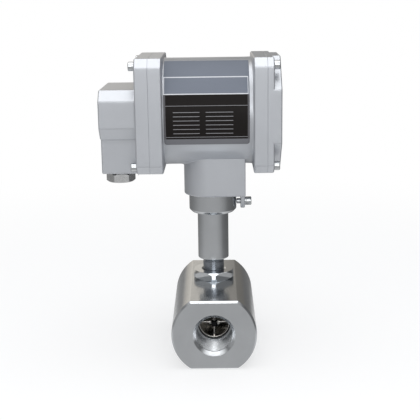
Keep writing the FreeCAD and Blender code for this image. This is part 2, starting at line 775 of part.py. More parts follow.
def corner_screws(label, x, along, length):
    """Four cap screws in the corners of a cover, seated at one station along X."""
    screws = []
    for index, (side, height) in enumerate(((-1, 1), (1, 1), (1, -1), (-1, -1))):
        at = (x, S.screw_across * side, head_z + S.screw_up * height)
        screws.append(cap_screw(
            f"{label}_{index + 1}", at, along, length,
            S.screw_radius, S.screw_head, S.screw_head_length,
        ))
    finish(group(f"{label}_group", screws), label)


def corner_holes(name, x, length, radius):
    """Four holes that match the corner screws, as one tool."""
    holes = []
    for index, (side, height) in enumerate(((-1, 1), (1, 1), (1, -1), (-1, -1))):
        at = (x, S.screw_across * side, head_z + S.screw_up * height)
        holes.append(cylinder(f"{name}_{index + 1}", radius, length, at, "x"))
    return union(name, *holes)


def seal_groove(name, x):
    """The groove of a cover seal, open at one seam."""
    width = S.seal_section + S.seal_room
    outer = cylinder(f"{name}_outside", seal_radius + width, width * 2, (x, 0, head_z), "x")
    inner = cylinder(f"{name}_inside", seal_radius - width, width * 2, (x, 0, head_z), "x")
    return minus(name, outer, inner)


def flange_plate(name, x, thickness, bevelled_at):
    """A square flange with cut corners, bevelled round one of its faces."""
    body = plate(name, bevelled_square(S.flange_half, S.flange_corner), thickness, (x, 0, head_z), "x")
    return bevel(body, S.flange_edge, level(bevelled_at))


def make_housing():
    """The cast housing: a round shell between two square flanges, with a neck below."""
    length = S.seam_right + S.seam_left
    shell = cylinder("housing_shell", S.shell_radius, length, (left_seam, 0, head_z), "x")
    left = flange_plate("housing_left_flange", left_seam, S.flange_thickness, S.flange_thickness)
    right_x = S.seam_right - S.flange_thickness
    right = flange_plate("housing_right_flange", right_x, S.flange_thickness, 0)
    edge = S.flange_edge
    corner_at = S.neck_radius - S.neck_corner
    neck_rounds = []
    for side in (-1, 1):
        neck_rounds.append(turned(
            f"housing_neck_round_{len(neck_rounds) + 1}",
            [
                (0, 0), (S.neck_corner - edge, 0), (S.neck_corner, edge),
                (S.neck_corner, S.neck_drop), (0, S.neck_drop),
            ],
            (-corner_at, corner_at * side, neck_z),
        ))
    neck_outline = [
        (-corner_at, -S.neck_radius), (S.neck_reach, -S.neck_radius), (S.neck_reach, S.neck_radius),
        (-corner_at, S.neck_radius), (-S.neck_radius, corner_at), (-S.neck_radius, -corner_at),
    ]
    neck_square = plate("housing_neck_square", neck_outline, S.neck_drop, (0, 0, neck_z))
    neck_square = bevel(neck_square, edge, level(0))
    lug_left = S.neck_reach - S.lug_thickness
    lug_round = cylinder("housing_lug_round", S.lug_radius, S.lug_thickness, (lug_left, 0, screw_z), "x")
    lug_square = block(
        "housing_lug_square", (lug_left, -S.lug_radius, screw_z), (S.neck_reach, S.lug_radius, neck_z + OVERCUT),
    )
    outside = union(
        "housing_outside", shell, left, right, neck_square, lug_round, lug_square, *neck_rounds,
    )
    hollow = cylinder("housing_hollow", shell_inner, length, (left_seam, 0, head_z), "x")
    socket = cylinder(
        "housing_neck_socket", S.collar_radius + S.seat_play, S.collar_grip + S.seat_play * 2,
        (0, 0, neck_z),
    )
    passage = cylinder("housing_passage", S.neck_passage, head_z - neck_z, (0, 0, neck_z))
    lug_hole = cylinder(
        "housing_lug_hole", S.screw_radius + S.seat_play, S.lug_thickness + OVERCUT * 2,
        (lug_left - OVERCUT, 0, screw_z), "x",
    )
    tapped = S.screw_radius + S.seat_play
    depth = S.screw_bite + S.end_play
    holes_left = corner_holes("housing_left_holes", left_seam, depth, tapped)
    holes_right = corner_holes("housing_right_holes", S.seam_right - depth, depth, tapped)
    groove_left = seal_groove("housing_left_groove", left_seam)
    groove_right = seal_groove("housing_right_groove", S.seam_right - (S.seal_section + S.seal_room) * 2)
    hollowed = minus(
        "housing_hollowed", outside, hollow, socket, passage, lug_hole,
        holes_left, holes_right, groove_left, groove_right,
    )
    posts = []
    holes = []
    post_length = S.boss_left - S.boss_right
    for index in range(4):
        at = boss_place(index, -S.boss_left)
        posts.append(cylinder(f"housing_post_{index + 1}", S.boss_radius, post_length, at, "x"))
        holes.append(cylinder(f"housing_post_hole_{index + 1}", S.stack_screw + S.seat_play, post_length, at, "x"))
    joined = union("housing_joined", hollowed, *posts)
    finish(minus("housing_solid", joined, *holes), "housing")


def boss_place(index, x):
    """The centre of one of the four posts, at a station along X."""
    reach = boss_circle * math.sqrt(0.5)
    side = 1 if index in (0, 1) else -1
    height = 1 if index in (0, 3) else -1
    return (x, reach * side, head_z + reach * height)


def make_seals():
    """The two O-rings between the housing and its covers."""
    inset = S.seal_section + S.seal_room / 2
    left = ring_section("terminal_seal_ring", seal_radius, S.seal_section, (left_seam + inset, 0, head_z), "x")
    finish(left, "terminal_seal")
    right = ring_section(
        "display_seal_ring", seal_radius, S.seal_section, (S.seam_right - inset, 0, head_z), "x",
    )
    finish(right, "display_seal")


def box_outline(wall):
    """The terminal box's upper section, looking along X, inside or outside its wall."""
    half = S.box_half - wall
    top = S.box_top - wall
    cut = S.box_corner - wall * BEVEL_SHARE
    shoulder = S.box_shoulder - wall * (1 - BEVEL_SHARE)
    waist = S.box_waist - wall
    return [
        (-half, -shoulder), (cut - half, -waist), (half - cut, -waist), (half, -shoulder),
        (half, top - cut), (half - cut, top), (cut - half, top), (-half, top - cut),
    ]


def make_terminal_cover():
    """The left cover, cast in one with the terminal box."""
    flange = plate(
        "terminal_cover_flange", bevelled_square(S.flange_half, S.flange_corner),
        S.cover_thickness, (left_seam, 0, head_z), "-x",
    )
    flange = bevel(flange, S.flange_edge, level(S.cover_thickness))
    upper = plate("terminal_box_upper", box_outline(0), S.box_reach, (box_left, 0, head_z), "x")
    upper = bevel(upper, S.flange_edge, level(0))
    lower_points = [
        (-S.box_lower_half, -S.box_bottom), (S.box_lower_half, -S.box_bottom),
        (S.box_lower_half, 0), (-S.box_lower_half, 0),
    ]
    lower = plate("terminal_box_lower", lower_points, S.box_reach, (box_left, 0, head_z), "x")
    lower = bevel(lower, S.flange_edge, level(0))
    outside = union("terminal_cover_outside", flange, upper, lower)
    room = S.box_reach - S.box_wall
    inside_x = box_left + S.box_wall
    upper_room = plate("terminal_room_upper", box_outline(S.box_wall), room, (inside_x, 0, head_z), "x")
    half = S.box_lower_half - S.box_wall
    lower_room = block(
        "terminal_room_lower", (inside_x, -half, box_floor_z + S.entry_wall), (cover_left, half, head_z),
    )
    throat_length = S.cover_thickness + OVERCUT * 2
    throat_at = (cover_left - OVERCUT, 0, head_z)
    opening = cylinder(
        "terminal_opening", S.box_opening, throat_length, throat_at, "x",
    )
    inner_limit = plate("terminal_opening_limit", box_outline(S.box_wall), throat_length, throat_at, "x")
    throat = overlap("terminal_throat", opening, inner_limit)
    entry = cylinder(
        "terminal_entry", S.entry_radius, S.entry_wall + S.plug_thread, (entry_x, 0, box_floor_z - OVERCUT),
    )
    holes = corner_holes(
        "terminal_cover_holes", cover_left - OVERCUT, S.cover_thickness + OVERCUT * 2,
        S.screw_radius + S.seat_play * 2,
    )
    solid = minus("terminal_cover_solid", outside, upper_room, lower_room, throat, entry, holes)
    finish(solid, "terminal_cover")


def make_display_cover():
    """The right cover: a plate, an octagonal pad and a round window."""
    flange = plate(
        "display_cover_plate", bevelled_square(S.flange_half, S.flange_corner),
        S.plate_thickness, (S.seam_right, 0, head_z), "x",
    )
    flange = bevel(flange, S.flange_edge, level(S.plate_thickness))
    pad = plate(
        "display_cover_pad", bevelled_square(S.flange_half, S.pad_corner),
        S.plate_thickness + S.pad_thickness, (S.seam_right, 0, head_z), "x",
    )
    pad = bevel(pad, S.flange_edge, level(S.plate_thickness + S.pad_thickness))
    outside = union("display_cover_outside", flange, pad)
    lip_x = pad_right - S.window_lip
    window = cylinder(
        "display_cover_window", S.window_radius, S.window_lip + OVERCUT * 2, (lip_x - OVERCUT, 0, head_z), "x",
    )
    seat = cylinder(
        "display_cover_seat", S.glass_radius + S.seat_play, lip_x - S.seam_right, (S.seam_right, 0, head_z), "x",
    )
    holes = corner_holes(
        "display_cover_holes", S.seam_right - OVERCUT, S.plate_thickness + S.pad_thickness + OVERCUT * 2,
        S.screw_radius + S.seat_play * 2,
    )
    finish(minus("display_cover_solid", outside, window, seat, holes), "display_cover")
    glass_x = lip_x - S.glass_thickness
    glass = cylinder("window_glass_disc", S.glass_radius, S.glass_thickness, (glass_x, 0, head_z), "x")
    finish(glass, "window_glass")
    ring_x = S.seam_right + S.seat_play * 2
    ring = minus(
        "window_ring_solid",
        cylinder("window_ring_disc", S.glass_radius, glass_x - ring_x, (ring_x, 0, head_z), "x"),
        cylinder("window_ring_hole", S.window_radius, glass_x - ring_x, (ring_x, 0, head_z), "x"),
    )
    finish(ring, "window_ring")


def make_blanking_plug():
    """The hexagon plug that closes the cable entry, and its washer."""
    shank = S.entry_radius - S.seat_play * 2
    collar = S.plug_flats / 2
    top = box_floor_z - S.washer_thickness
    hex_top = top - S.plug_collar
    hex_bottom = hex_top - S.plug_hex
    head = six_sided(
        "plug_head", S.plug_flats, S.plug_hex, S.plug_rim, 0, (entry_x, 0, hex_bottom), PLUG_SPIN,
    )
    thread_top = box_floor_z + S.plug_thread
    shaft = turned(
        "plug_shank",
        [
            (0, hex_top - S.plug_bevel), (collar, hex_top - S.plug_bevel), (collar, top), (shank, top),
            (shank, thread_top - S.plug_bevel), (shank - S.plug_bevel, thread_top), (0, thread_top),
        ],
        (entry_x, 0, 0),
    )
    finish(union("blanking_plug_solid", head, shaft), "blanking_plug")
    washer = minus(
        "plug_washer_solid",
        cylinder("plug_washer_disc", collar + S.washer_rim, S.washer_thickness, (entry_x, 0, top)),
        cylinder("plug_washer_hole", S.entry_radius, S.washer_thickness, (entry_x, 0, top)),
    )
    finish(washer, "plug_washer")


def make_clamp():
    """The screw through the neck's lug that bears on the collar, and its washer."""
    at = (S.neck_reach, 0, screw_z)
    thickness = S.clamp_washer_thickness
    washer = minus(
        "clamp_washer_solid",
        cylinder("clamp_washer_disc", S.screw_head, thickness, at, "x"),
        cylinder("clamp_washer_hole", S.screw_radius + S.seat_play, thickness, at, "x"),
    )
    finish(washer, "clamp_washer")
    seat = S.neck_reach + thickness
    length = seat - S.collar_radius - S.seat_play
    screw = cap_screw(
        "clamp_screw_turned", (seat, 0, screw_z), "x", length,
        S.screw_radius, S.screw_head, S.screw_head_length,
    )
    finish(screw, "clamp_screw")


def round_board(name, x):
    """A round circuit board with four screw holes."""
    disc = cylinder(f"{name}_disc", board_radius, S.board_thickness, (x, 0, head_z), "x")
    holes = [
        cylinder(
            f"{name}_hole_{index + 1}", S.stack_screw + S.seat_play, S.board_thickness + OVERCUT * 2,
            boss_place(index, x - OVERCUT), "x",
        )
        for index in range(4)
    ]
    return minus(f"{name}_solid", disc, *holes)


def standoff(index):
    """One standoff, with a stud in its post and a blind hole for the display board's screw."""
    bore = S.stack_screw + S.seat_play
    depth = S.board_bite + S.end_play
    return turned(
        f"standoff_{index + 1}",
        [
            (0, -S.standoff_stud), (S.stack_screw, -S.standoff_stud), (S.stack_screw, 0),
            (S.standoff_radius, 0), (S.standoff_radius, S.standoff_length), (bore, S.standoff_length),
            (bore, S.standoff_length - depth), (0, S.standoff_length - depth),
        ],
        boss_place(index, -S.boss_right), "x",
    )


def make_electronics():
    """Two circuit boards on the housing's posts, the display module and the terminals."""
    finish(round_board("main_board_round", board_x), "main_board")
    finish(round_board("display_board_round", display_x), "display_board")
    main_screws = []
    standoffs = []
    display_screws = []
    for index in range(4):
        main_screws.append(cap_screw(
            f"main_board_screw_{index + 1}", boss_place(index, board_x), "-x",
            S.board_thickness + S.board_bite, S.stack_screw, S.stack_head, S.stack_head_length,
        ))
        standoffs.append(standoff(index))
        display_screws.append(cap_screw(
            f"display_board_screw_{index + 1}", boss_place(index, display_x + S.board_thickness), "x",
            S.board_thickness + S.board_bite, S.stack_screw, S.stack_head, S.stack_head_length,
        ))
    finish(group("main_board_screw_group", main_screws), "main_board_screws")
    finish(group("standoff_group", standoffs), "board_standoffs")
    finish(group("display_board_screw_group", display_screws), "display_board_screws")
    half_width = S.lcd_width / 2
    half_height = S.lcd_height / 2
    module = block(
        "display_module_block",
        (display_x + S.board_thickness, -half_width, head_z - half_height),
        (bezel_x, half_width, head_z + half_height),
    )
    finish(module, "display_module")
    mask_half_width = S.bezel_width / 2
    mask_half_height = S.bezel_height / 2
    mask = minus(
        "display_mask_solid",
        cylinder("display_mask_disc", S.bezel_radius, S.bezel_thickness, (bezel_x, 0, head_z), "x"),
        block(
            "display_mask_opening",
            (bezel_x - OVERCUT, -mask_half_width, head_z - mask_half_height),
            (bezel_x + S.bezel_thickness + OVERCUT, mask_half_width, head_z + mask_half_height),
        ),
    )
    finish(mask, "display_mask")
    make_terminal_block()


def make_terminal_block():
    """A row of screw terminals on the left of the main board."""
    half = S.block_width / 2
    low = head_z - S.block_height / 2
    high = head_z + S.block_height / 2
    block_left = board_x - S.block_depth
    base = block("terminal_block_base", (block_left, -half, low), (board_x, half, high))
    wells = []
    screws = []
    entries = []
    for pole in range(TERMINAL_POLES):
        across = S.pole_pitch * (pole - (TERMINAL_POLES - 1) / 2)
        height = head_z + S.pole_rise
        well_end = block_left + S.pole_well_depth
        wells.append(cylinder(
            f"terminal_well_{pole + 1}", S.pole_well, S.pole_well_depth, (block_left, across, height), "x",
        ))
        screws.append(cylinder(
            f"terminal_screw_{pole + 1}", S.pole_screw, S.pole_screw_length,
            (well_end - S.pole_screw_length, across, height), "x",
        ))
        entries.append(cylinder(
            f"terminal_wire_hole_{pole + 1}", S.wire_hole, S.wire_hole_depth,
            (block_left + S.wire_hole_back, across, low),
        ))
    finish(minus("terminal_block_solid", base, *wells, *entries), "terminal_block")
    finish(group("terminal_screw_group", screws), "terminal_screws")


def rating_plate(name, low, high):
    """A thin curved plate on the front of the round shell, between two heights."""
    inner = S.shell_radius + S.plate_glue
    length = S.label_right + S.label_left
    sheet_ring = minus(
        f"{name}_ring",
        cylinder(f"{name}_outside", inner + S.label_gauge, length, (-S.label_left, 0, head_z), "x"),
        cylinder(f"{name}_inside", inner, length, (-S.label_left, 0, head_z), "x"),
    )
    front = block(
        f"{name}_front",
        (-S.label_left - OVERCUT, -inner - OVERCUT, head_z + low),
        (S.label_right + OVERCUT, 0, head_z + high),
    )
    return overlap(f"{name}_solid", sheet_ring, front)


make_meter_body()
make_straightener("inlet", "-y", S.inlet_sleeve)
make_straightener("outlet", "y", S.outlet_sleeve)
make_retaining_ring("inlet", "-y", inlet_ring_y)
make_retaining_ring("outlet", "y", outlet_ring_y)
make_rotor()
make_lock_nut()
make_stem()
make_pickup()
make_housing()
make_seals()
make_terminal_cover()
make_display_cover()
corner_screws("terminal_cover_screws", cover_left, "-x", S.cover_thickness + S.screw_bite)
corner_screws("display_cover_screws", plate_right, "x", S.plate_thickness + S.screw_bite)
make_blanking_plug()
make_clamp()
make_electronics()
finish(rating_plate("upper_plate", S.label_split, S.label_top), "upper_plate")
finish(rating_plate("rating_plate", -S.label_bottom, S.label_split - S.seat_play), "rating_plate")

doc.recompute()

for thing in doc.Objects:
    if "Invalid" in thing.State or "Error" in thing.State:
        raise RuntimeError(f"{thing.Label} did not build: {thing.State}")

for piece in PIECES:
    if piece.Shape.isNull() or not piece.Shape.isValid():
        raise RuntimeError(f"{piece.Label} has no valid shape")

os.makedirs("parts", exist_ok=True)
for piece in PIECES:
    piece.Shape.exportStep(f"parts/{piece.Label}.step")
    print(piece.Label, len(piece.Shape.Solids), round(piece.Shape.Volume, 2))
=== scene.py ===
import math

import bmesh
import bpy
import numpy as np
from mathutils import Matrix, Vector


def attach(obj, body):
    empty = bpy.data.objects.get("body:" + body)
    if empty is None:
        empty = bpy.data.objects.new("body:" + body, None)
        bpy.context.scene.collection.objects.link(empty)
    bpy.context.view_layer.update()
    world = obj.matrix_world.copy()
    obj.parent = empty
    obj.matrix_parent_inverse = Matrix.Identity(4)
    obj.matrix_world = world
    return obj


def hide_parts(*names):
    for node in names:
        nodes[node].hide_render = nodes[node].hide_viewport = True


# A turbine flow meter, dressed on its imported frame. Lengths of its pieces are in
# millimetres and become metres where a mesh is made. Lamps, floor and surround
# are set out in metres.
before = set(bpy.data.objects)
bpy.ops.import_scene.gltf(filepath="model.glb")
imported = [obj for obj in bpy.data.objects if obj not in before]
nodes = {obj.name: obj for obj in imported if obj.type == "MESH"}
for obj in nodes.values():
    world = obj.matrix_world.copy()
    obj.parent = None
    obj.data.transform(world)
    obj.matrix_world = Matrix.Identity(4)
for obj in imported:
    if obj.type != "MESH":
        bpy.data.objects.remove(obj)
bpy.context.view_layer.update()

MM = 0.001
PIPE_Z = 18.75
HEAD_Z = 131.1


# Materials

# The span of a noise value that is spread over a shade or a roughness
NOISE_LOW, NOISE_HIGH = 0.3, 0.7


def srgb(code):
    """A colour written as six hex digits, in linear light."""
    parts = [int(code[i:i + 2], 16) / 255 for i in (0, 2, 4)]
    return tuple(p / 12.92 if p <= 0.04045 else ((p + 0.055) / 1.055) ** 2.4 for p in parts) + (1.0,)


class Look:
    """A node material, built around one Principled shader."""

    def __init__(self, name, colour, rough, metallic=0.0, **sockets):
        self.material = bpy.data.materials.new(name)
        self.material.use_nodes = True
        self.tree = self.material.node_tree
        self.shader = self.tree.nodes["Principled BSDF"]
        self.colour = srgb(colour)
        self.rough = rough
        self.shader.inputs["Base Color"].default_value = self.colour
        self.shader.inputs["Roughness"].default_value = rough
        self.shader.inputs["Metallic"].default_value = metallic
        for key, value in sockets.items():
            self.shader.inputs[key.replace("_", " ")].default_value = value
        self.height = None
        self.tint = None

    def node(self, kind, **settings):
        made = self.tree.nodes.new(kind)
        for key, value in settings.items():
            setattr(made, key, value)
        return made

    def link(self, start, end):
        self.tree.links.new(start, end)

    def math(self, operation, first, second=None):
        made = self.node("ShaderNodeMath", operation=operation)
        for socket, value in zip(made.inputs, (first, second)):
            if isinstance(value, (int, float)):
                socket.default_value = value
            elif value is not None:
                self.link(value, socket)
        return made.outputs[0]

    def place(self, stretch=(1, 1, 1)):
        """Object coordinates in millimetres, stretched along the axes."""
        source = self.node("ShaderNodeTexCoord")
        mapping = self.node("ShaderNodeMapping")
        mapping.inputs["Scale"].default_value = [part / MM for part in stretch]
        self.link(source.outputs["Object"], mapping.inputs["Vector"])
        return mapping.outputs["Vector"]

    def noise(self, scale, detail, stretch=(1, 1, 1), at=None):
        """Noise whose scale is in cycles for each millimetre."""
        made = self.node("ShaderNodeTexNoise")
        made.inputs["Scale"].default_value = scale
        made.inputs["Detail"].default_value = detail
        self.link(self.place(stretch) if at is None else at, made.inputs["Vector"])
        return made.outputs["Fac"]

    def remap(self, value, to_low, to_high):
        """Spreads a noise value between two numbers."""
        made = self.node("ShaderNodeMapRange")
        made.inputs["From Min"].default_value = NOISE_LOW
        made.inputs["From Max"].default_value = NOISE_HIGH
        made.inputs["To Min"].default_value = to_low
        made.inputs["To Max"].default_value = to_high
        self.link(value, made.inputs["Value"])
        return made.outputs["Result"]

    def shade(self, value, dark, light):
        """Makes the colour darker and lighter by shares, as a noise value grows."""
        share = self.remap(value, dark, light)
        self.tint = share if self.tint is None else self.math("MULTIPLY", self.tint, share)

    def gloss(self, value, spread):
        """Varies the roughness by a spread, as a noise value grows."""
        result = self.remap(value, self.rough - spread, self.rough + spread)
        self.link(result, self.shader.inputs["Roughness"])

    def raise_by(self, value, depth):
        """Adds relief, with its depth in millimetres."""
        scaled = self.math("MULTIPLY", value, depth)
        self.height = scaled if self.height is None else self.math("ADD", self.height, scaled)

    def pipe_distance(self):
        """Distance from the pipe's axis in millimetres, as a vector for noise that follows it alone."""
        split = self.node("ShaderNodeSeparateXYZ")
        self.link(self.place(), split.inputs[0])
        across, up = split.outputs["X"], self.math("SUBTRACT", split.outputs["Z"], PIPE_Z)
        squares = self.math("ADD", self.math("MULTIPLY", across, across), self.math("MULTIPLY", up, up))
        made = self.node("ShaderNodeCombineXYZ")
        self.link(self.math("SQRT", squares), made.inputs["X"])
        return made.outputs[0]

    def done(self):
        if self.tint is not None:
            mix = self.node("ShaderNodeVectorMath", operation="SCALE")
            mix.inputs[0].default_value = self.colour[:3]
            self.link(self.tint, mix.inputs["Scale"])
            self.link(mix.outputs[0], self.shader.inputs["Base Color"])
        if self.height is not None:
            bump = self.node("ShaderNodeBump")
            bump.inputs["Strength"].default_value = 1.0
            bump.inputs["Distance"].default_value = MM
            self.link(self.height, bump.inputs["Height"])
            self.link(bump.outputs["Normal"], self.shader.inputs["Normal"])
        return self.material


def turned_steel(name, colour, rough, axis, depth=0.0003):
    """Metal with the fine rings that a lathe leaves round the pipe's axis or the stem's."""
    look = Look(name, colour, rough, metallic=1.0)
    if axis == "pipe":
        lines = look.noise(5.0, 2.0, at=look.pipe_distance())
    else:
        lines = look.noise(6.0, 2.0, (0.02, 0.02, 1))
    look.raise_by(lines, depth)
    look.raise_by(look.noise(0.25, 2.0), 0.002)
    look.shade(look.noise(0.09, 3.0), 0.96, 1.03)
    look.gloss(look.noise(0.22, 4.0), rough * 0.18)
    return look.done()


def cast_metal(name, colour, rough, metallic):
    """Satin casting: a faint peel, a little cloudiness and a fine grain."""
    look = Look(name, colour, rough, metallic=metallic)
    look.raise_by(look.noise(1.3, 2.0), 0.003)
    look.raise_by(look.noise(7.0, 1.0), 0.0006)
    look.shade(look.noise(0.05, 4.0), 0.97, 1.02)
    look.gloss(look.noise(0.4, 4.0), 0.03)
    return look.done()


def plain_metal(name, colour, rough, depth=0.0006):
    look = Look(name, colour, rough, metallic=1.0)
    look.raise_by(look.noise(4.0, 3.0), depth)
    look.shade(look.noise(0.5, 3.0), 0.94, 1.05)
    look.gloss(look.noise(0.8, 4.0), rough * 0.2)
    return look.done()


def moulded(name, colour, rough):
    look = Look(name, colour, rough, Specular_IOR_Level=0.35)
    look.raise_by(look.noise(4.0, 3.0), 0.002)
    look.shade(look.noise(0.3, 4.0), 0.94, 1.05)
    look.gloss(look.noise(0.8, 3.0), 0.05)
    return look.done()


def printed(name, colour):
    """Matt printed aluminium sheet with a fine even grain."""
    look = Look(name, colour, 0.5, Specular_IOR_Level=0.14)
    look.raise_by(look.noise(6.0, 2.0), 0.0008)
    look.shade(look.noise(0.04, 2.0), 0.98, 1.02)
    look.gloss(look.noise(0.5, 3.0), 0.04)
    return look.done()


def clear_glass():
    look = Look("window_glass_clear", "f4f7f6", 0.03, Transmission_Weight=1.0, IOR=1.5)
    look.gloss(look.noise(0.2, 2.0), 0.02)
    return look.done()


LOOKS = {
    "body_steel": turned_steel("turned_steel_body", "c8cbce", 0.18, "pipe"),
    "bore_steel": turned_steel("threaded_steel", "d2d5d8", 0.3, "pipe", 0.0004),
    "vane_steel": plain_metal("machined_steel", "d2cfca", 0.25),
    "bearing_dark": plain_metal("dark_metal", "202022", 0.3),
    "spring_steel": plain_metal("spring_steel_wire", "4a4c4e", 0.32),
    "rotor_steel": plain_metal("rotor_steel_milled", "aaa7a2", 0.3),
    "bright_steel": turned_steel("turned_steel_stem", "c8cbce", 0.2, "stem"),
    "nut_steel": plain_metal("polished_steel", "d0d3d6", 0.1, 0.0002),
    # Painted shade: the threaded end is the stem's own turned steel, given a darker base so it reads as dark
    # as its mirrored surroundings and thread shading
    "stub_steel_painted_shade": turned_steel("turned_steel_stub_painted_shade", "868b92", 0.26, "stem"),
    "seal_rubber": moulded("black_rubber", "1b1b1c", 0.55),
    "coil_brown": moulded("wound_coil", "6b3a1e", 0.5),
    "magnet_iron": plain_metal("soft_iron", "77787a", 0.35),
    "lead_grey": moulded("lead_sheath", "77797c", 0.5),
    "socket_white": moulded("white_moulding", "d8d6cf", 0.45),
    "cast_grey": cast_metal("satin_casting", "bfc2c7", 0.36, 0.7),
    "ring_black": moulded("black_anodised", "1a1a1b", 0.4),
    "screw_steel": plain_metal("screw_metal", "c9ccce", 0.2),
    "nickel_brass": plain_metal("nickel_plate", "d8d9da", 0.28),
    "board_green": moulded("circuit_board", "1f5a38", 0.4),
    "plain_brass": plain_metal("brass_metal", "b08d4a", 0.3),
    "display_grey": moulded("display_field", "8f9b8a", 0.25),
    "mask_black": moulded("mask_card", "161718", 0.4),
    "block_green": moulded("green_moulding", "2f7d4a", 0.4),
    "plate_blue_grey": printed("plate_field", "7a808b"),
    "plate_black": printed("plate_dark_field", "191615"),
    "print_white": printed("plate_white_print", "dfe1e5"),
    "print_grey": printed("plate_grey_print", "87878a"),
    "print_foot": printed("plate_foot_print", "6d6e72"),
    "print_edge": printed("plate_edge_print", "5a595c"),
    "segment_dark": moulded("display_segment", "23281f", 0.3),
    "clear_glass": clear_glass(),
}

for piece in nodes.values():
    for socket in piece.material_slots:
        slot_name = socket.material.name.split(".")[0]
        socket.material = LOOKS[slot_name]


# Mesh making. An outline is a closed ring of (across, up) points. Outlines of equal
# length are laid along an axis and skinned into a surface, and the corner at an
# outline is eased into a small curve.

AXES = {
    "x": lambda u, v, h: np.stack([h, u, v + HEAD_Z], 1),
    "y": lambda u, v, h: np.stack([u, h, v + PIPE_Z], 1),
    "z": lambda u, v, h: np.stack([u, v, h], 1),
}
EASE_STEPS = 3
# The largest share of a side that the ease of its corner takes
EASE_SHARE = 0.45
# Distances in metres under which points are merged and edges are dropped
WELD, SPECK = 2e-7, 1e-7
SHARP_ANGLE = 38
NORMAL_WEIGHT = 60


def lay(flat, height, axis):
    """Lays an outline across an axis, at a height along it."""
    flat = np.asarray(flat, float)
    return AXES[axis](flat[:, 0], flat[:, 1], np.broadcast_to(np.asarray(height, float), len(flat)))


def circle(radius, count=96, like=None):
    """A circle of evenly spaced points, or of points in the directions of another ring's."""
    if like is None:
        angles = 2 * math.pi * np.arange(count) / count
    else:
        angles = np.arctan2(like[:, 1], like[:, 0])
    return np.stack([radius * np.cos(angles), radius * np.sin(angles)], 1)


def around(ring):
    """A function that makes circles in step with a ring."""
    return lambda radius: circle(radius, like=ring)


def bow(start, peak, end, s):
    """A point at share s of the curve from start to end that leans to a peak."""
    return (1 - s) ** 2 * start + 2 * s * (1 - s) * peak + s * s * end


def inset(corners, depth):
    """Moves every side of a counter-clockwise polygon inwards."""
    points = np.asarray(corners, float)
    ahead = np.roll(points, -1, 0) - points
    ahead /= np.linalg.norm(ahead, axis=1, keepdims=True)
    normal = np.stack([-ahead[:, 1], ahead[:, 0]], 1)
    before = np.roll(normal, 1, 0)
    share = 1 + (before * normal).sum(1, keepdims=True)
    return points + (before + normal) / share * depth


def outline(corners, ease, per_side):
    """A polygon with eased corners, as a ring of evenly spaced points."""
    points = np.asarray(corners, float)
    made = []
    count = len(points)
    for i in range(count):
        here, before, after = points[i], points[i - 1], points[(i + 1) % count]
        start = here + (before - here) * min(ease / np.linalg.norm(before - here), EASE_SHARE)
        share = min(ease / np.linalg.norm(after - here), EASE_SHARE)
        end = here + (after - here) * share
        finish = after + (here - after) * share
        made.extend(bow(start, here, end, s) for s in np.linspace(0, 1, EASE_STEPS + 1))
        made.extend(end + (finish - end) * s for s in np.linspace(0, 1, per_side + 2)[1:-1])
    return np.array(made)


def octagon(half, cut):
    near = half - cut
    return [(-near, -half), (near, -half), (half, -near), (half, near),
            (near, half), (-near, half), (-half, near), (-half, -near)]


def hexagon(reach, spin=0.0):
    turns = [math.radians(60 * k) + spin for k in range(6)]
    return [(reach * math.cos(turn), reach * math.sin(turn)) for turn in turns]


def rectangle(across, up):
    return [(-across, -up), (across, -up), (across, up), (-across, up)]


def eased(rows, sizes, closed):
    """Rows of points, with the corner at each row curved over a distance."""
    made = []
    for i, (row, size) in enumerate(zip(rows, sizes)):
        if not size or (not closed and i in (0, len(rows) - 1)):
            made.append(row)
            continue
        ends = []
        for other in (rows[i - 1], rows[(i + 1) % len(rows)]):
            side = other - row
            reach = np.maximum(np.linalg.norm(side, axis=1, keepdims=True), 1e-9)
            ends.append(row + side * np.minimum(size / reach, EASE_SHARE))
        made.extend(bow(ends[0], row, ends[1], s) for s in np.linspace(0, 1, EASE_STEPS + 1))
    return made


def skin(rows, closed=False):
    """Joins rows of equal rings into quads."""
    size = len(rows[0])
    count = len(rows)
    faces = []
    for i in range(count if closed else count - 1):
        low, high = i * size, (i + 1) % count * size
        for k in range(size):
            j = (k + 1) % size
            faces.append((low + k, low + j, high + j, high + k))
    return np.concatenate(rows), faces


def grid(wide, tall):
    """Quads between the points of a grid, row by row."""
    starts = [j * wide + i for j in range(tall - 1) for i in range(wide - 1)]
    return [(k, k + 1, k + wide + 1, k + wide) for k in starts]


def add_object(name, data):
    made = bpy.data.objects.new(name, data)
    bpy.context.scene.collection.objects.link(made)
    return made


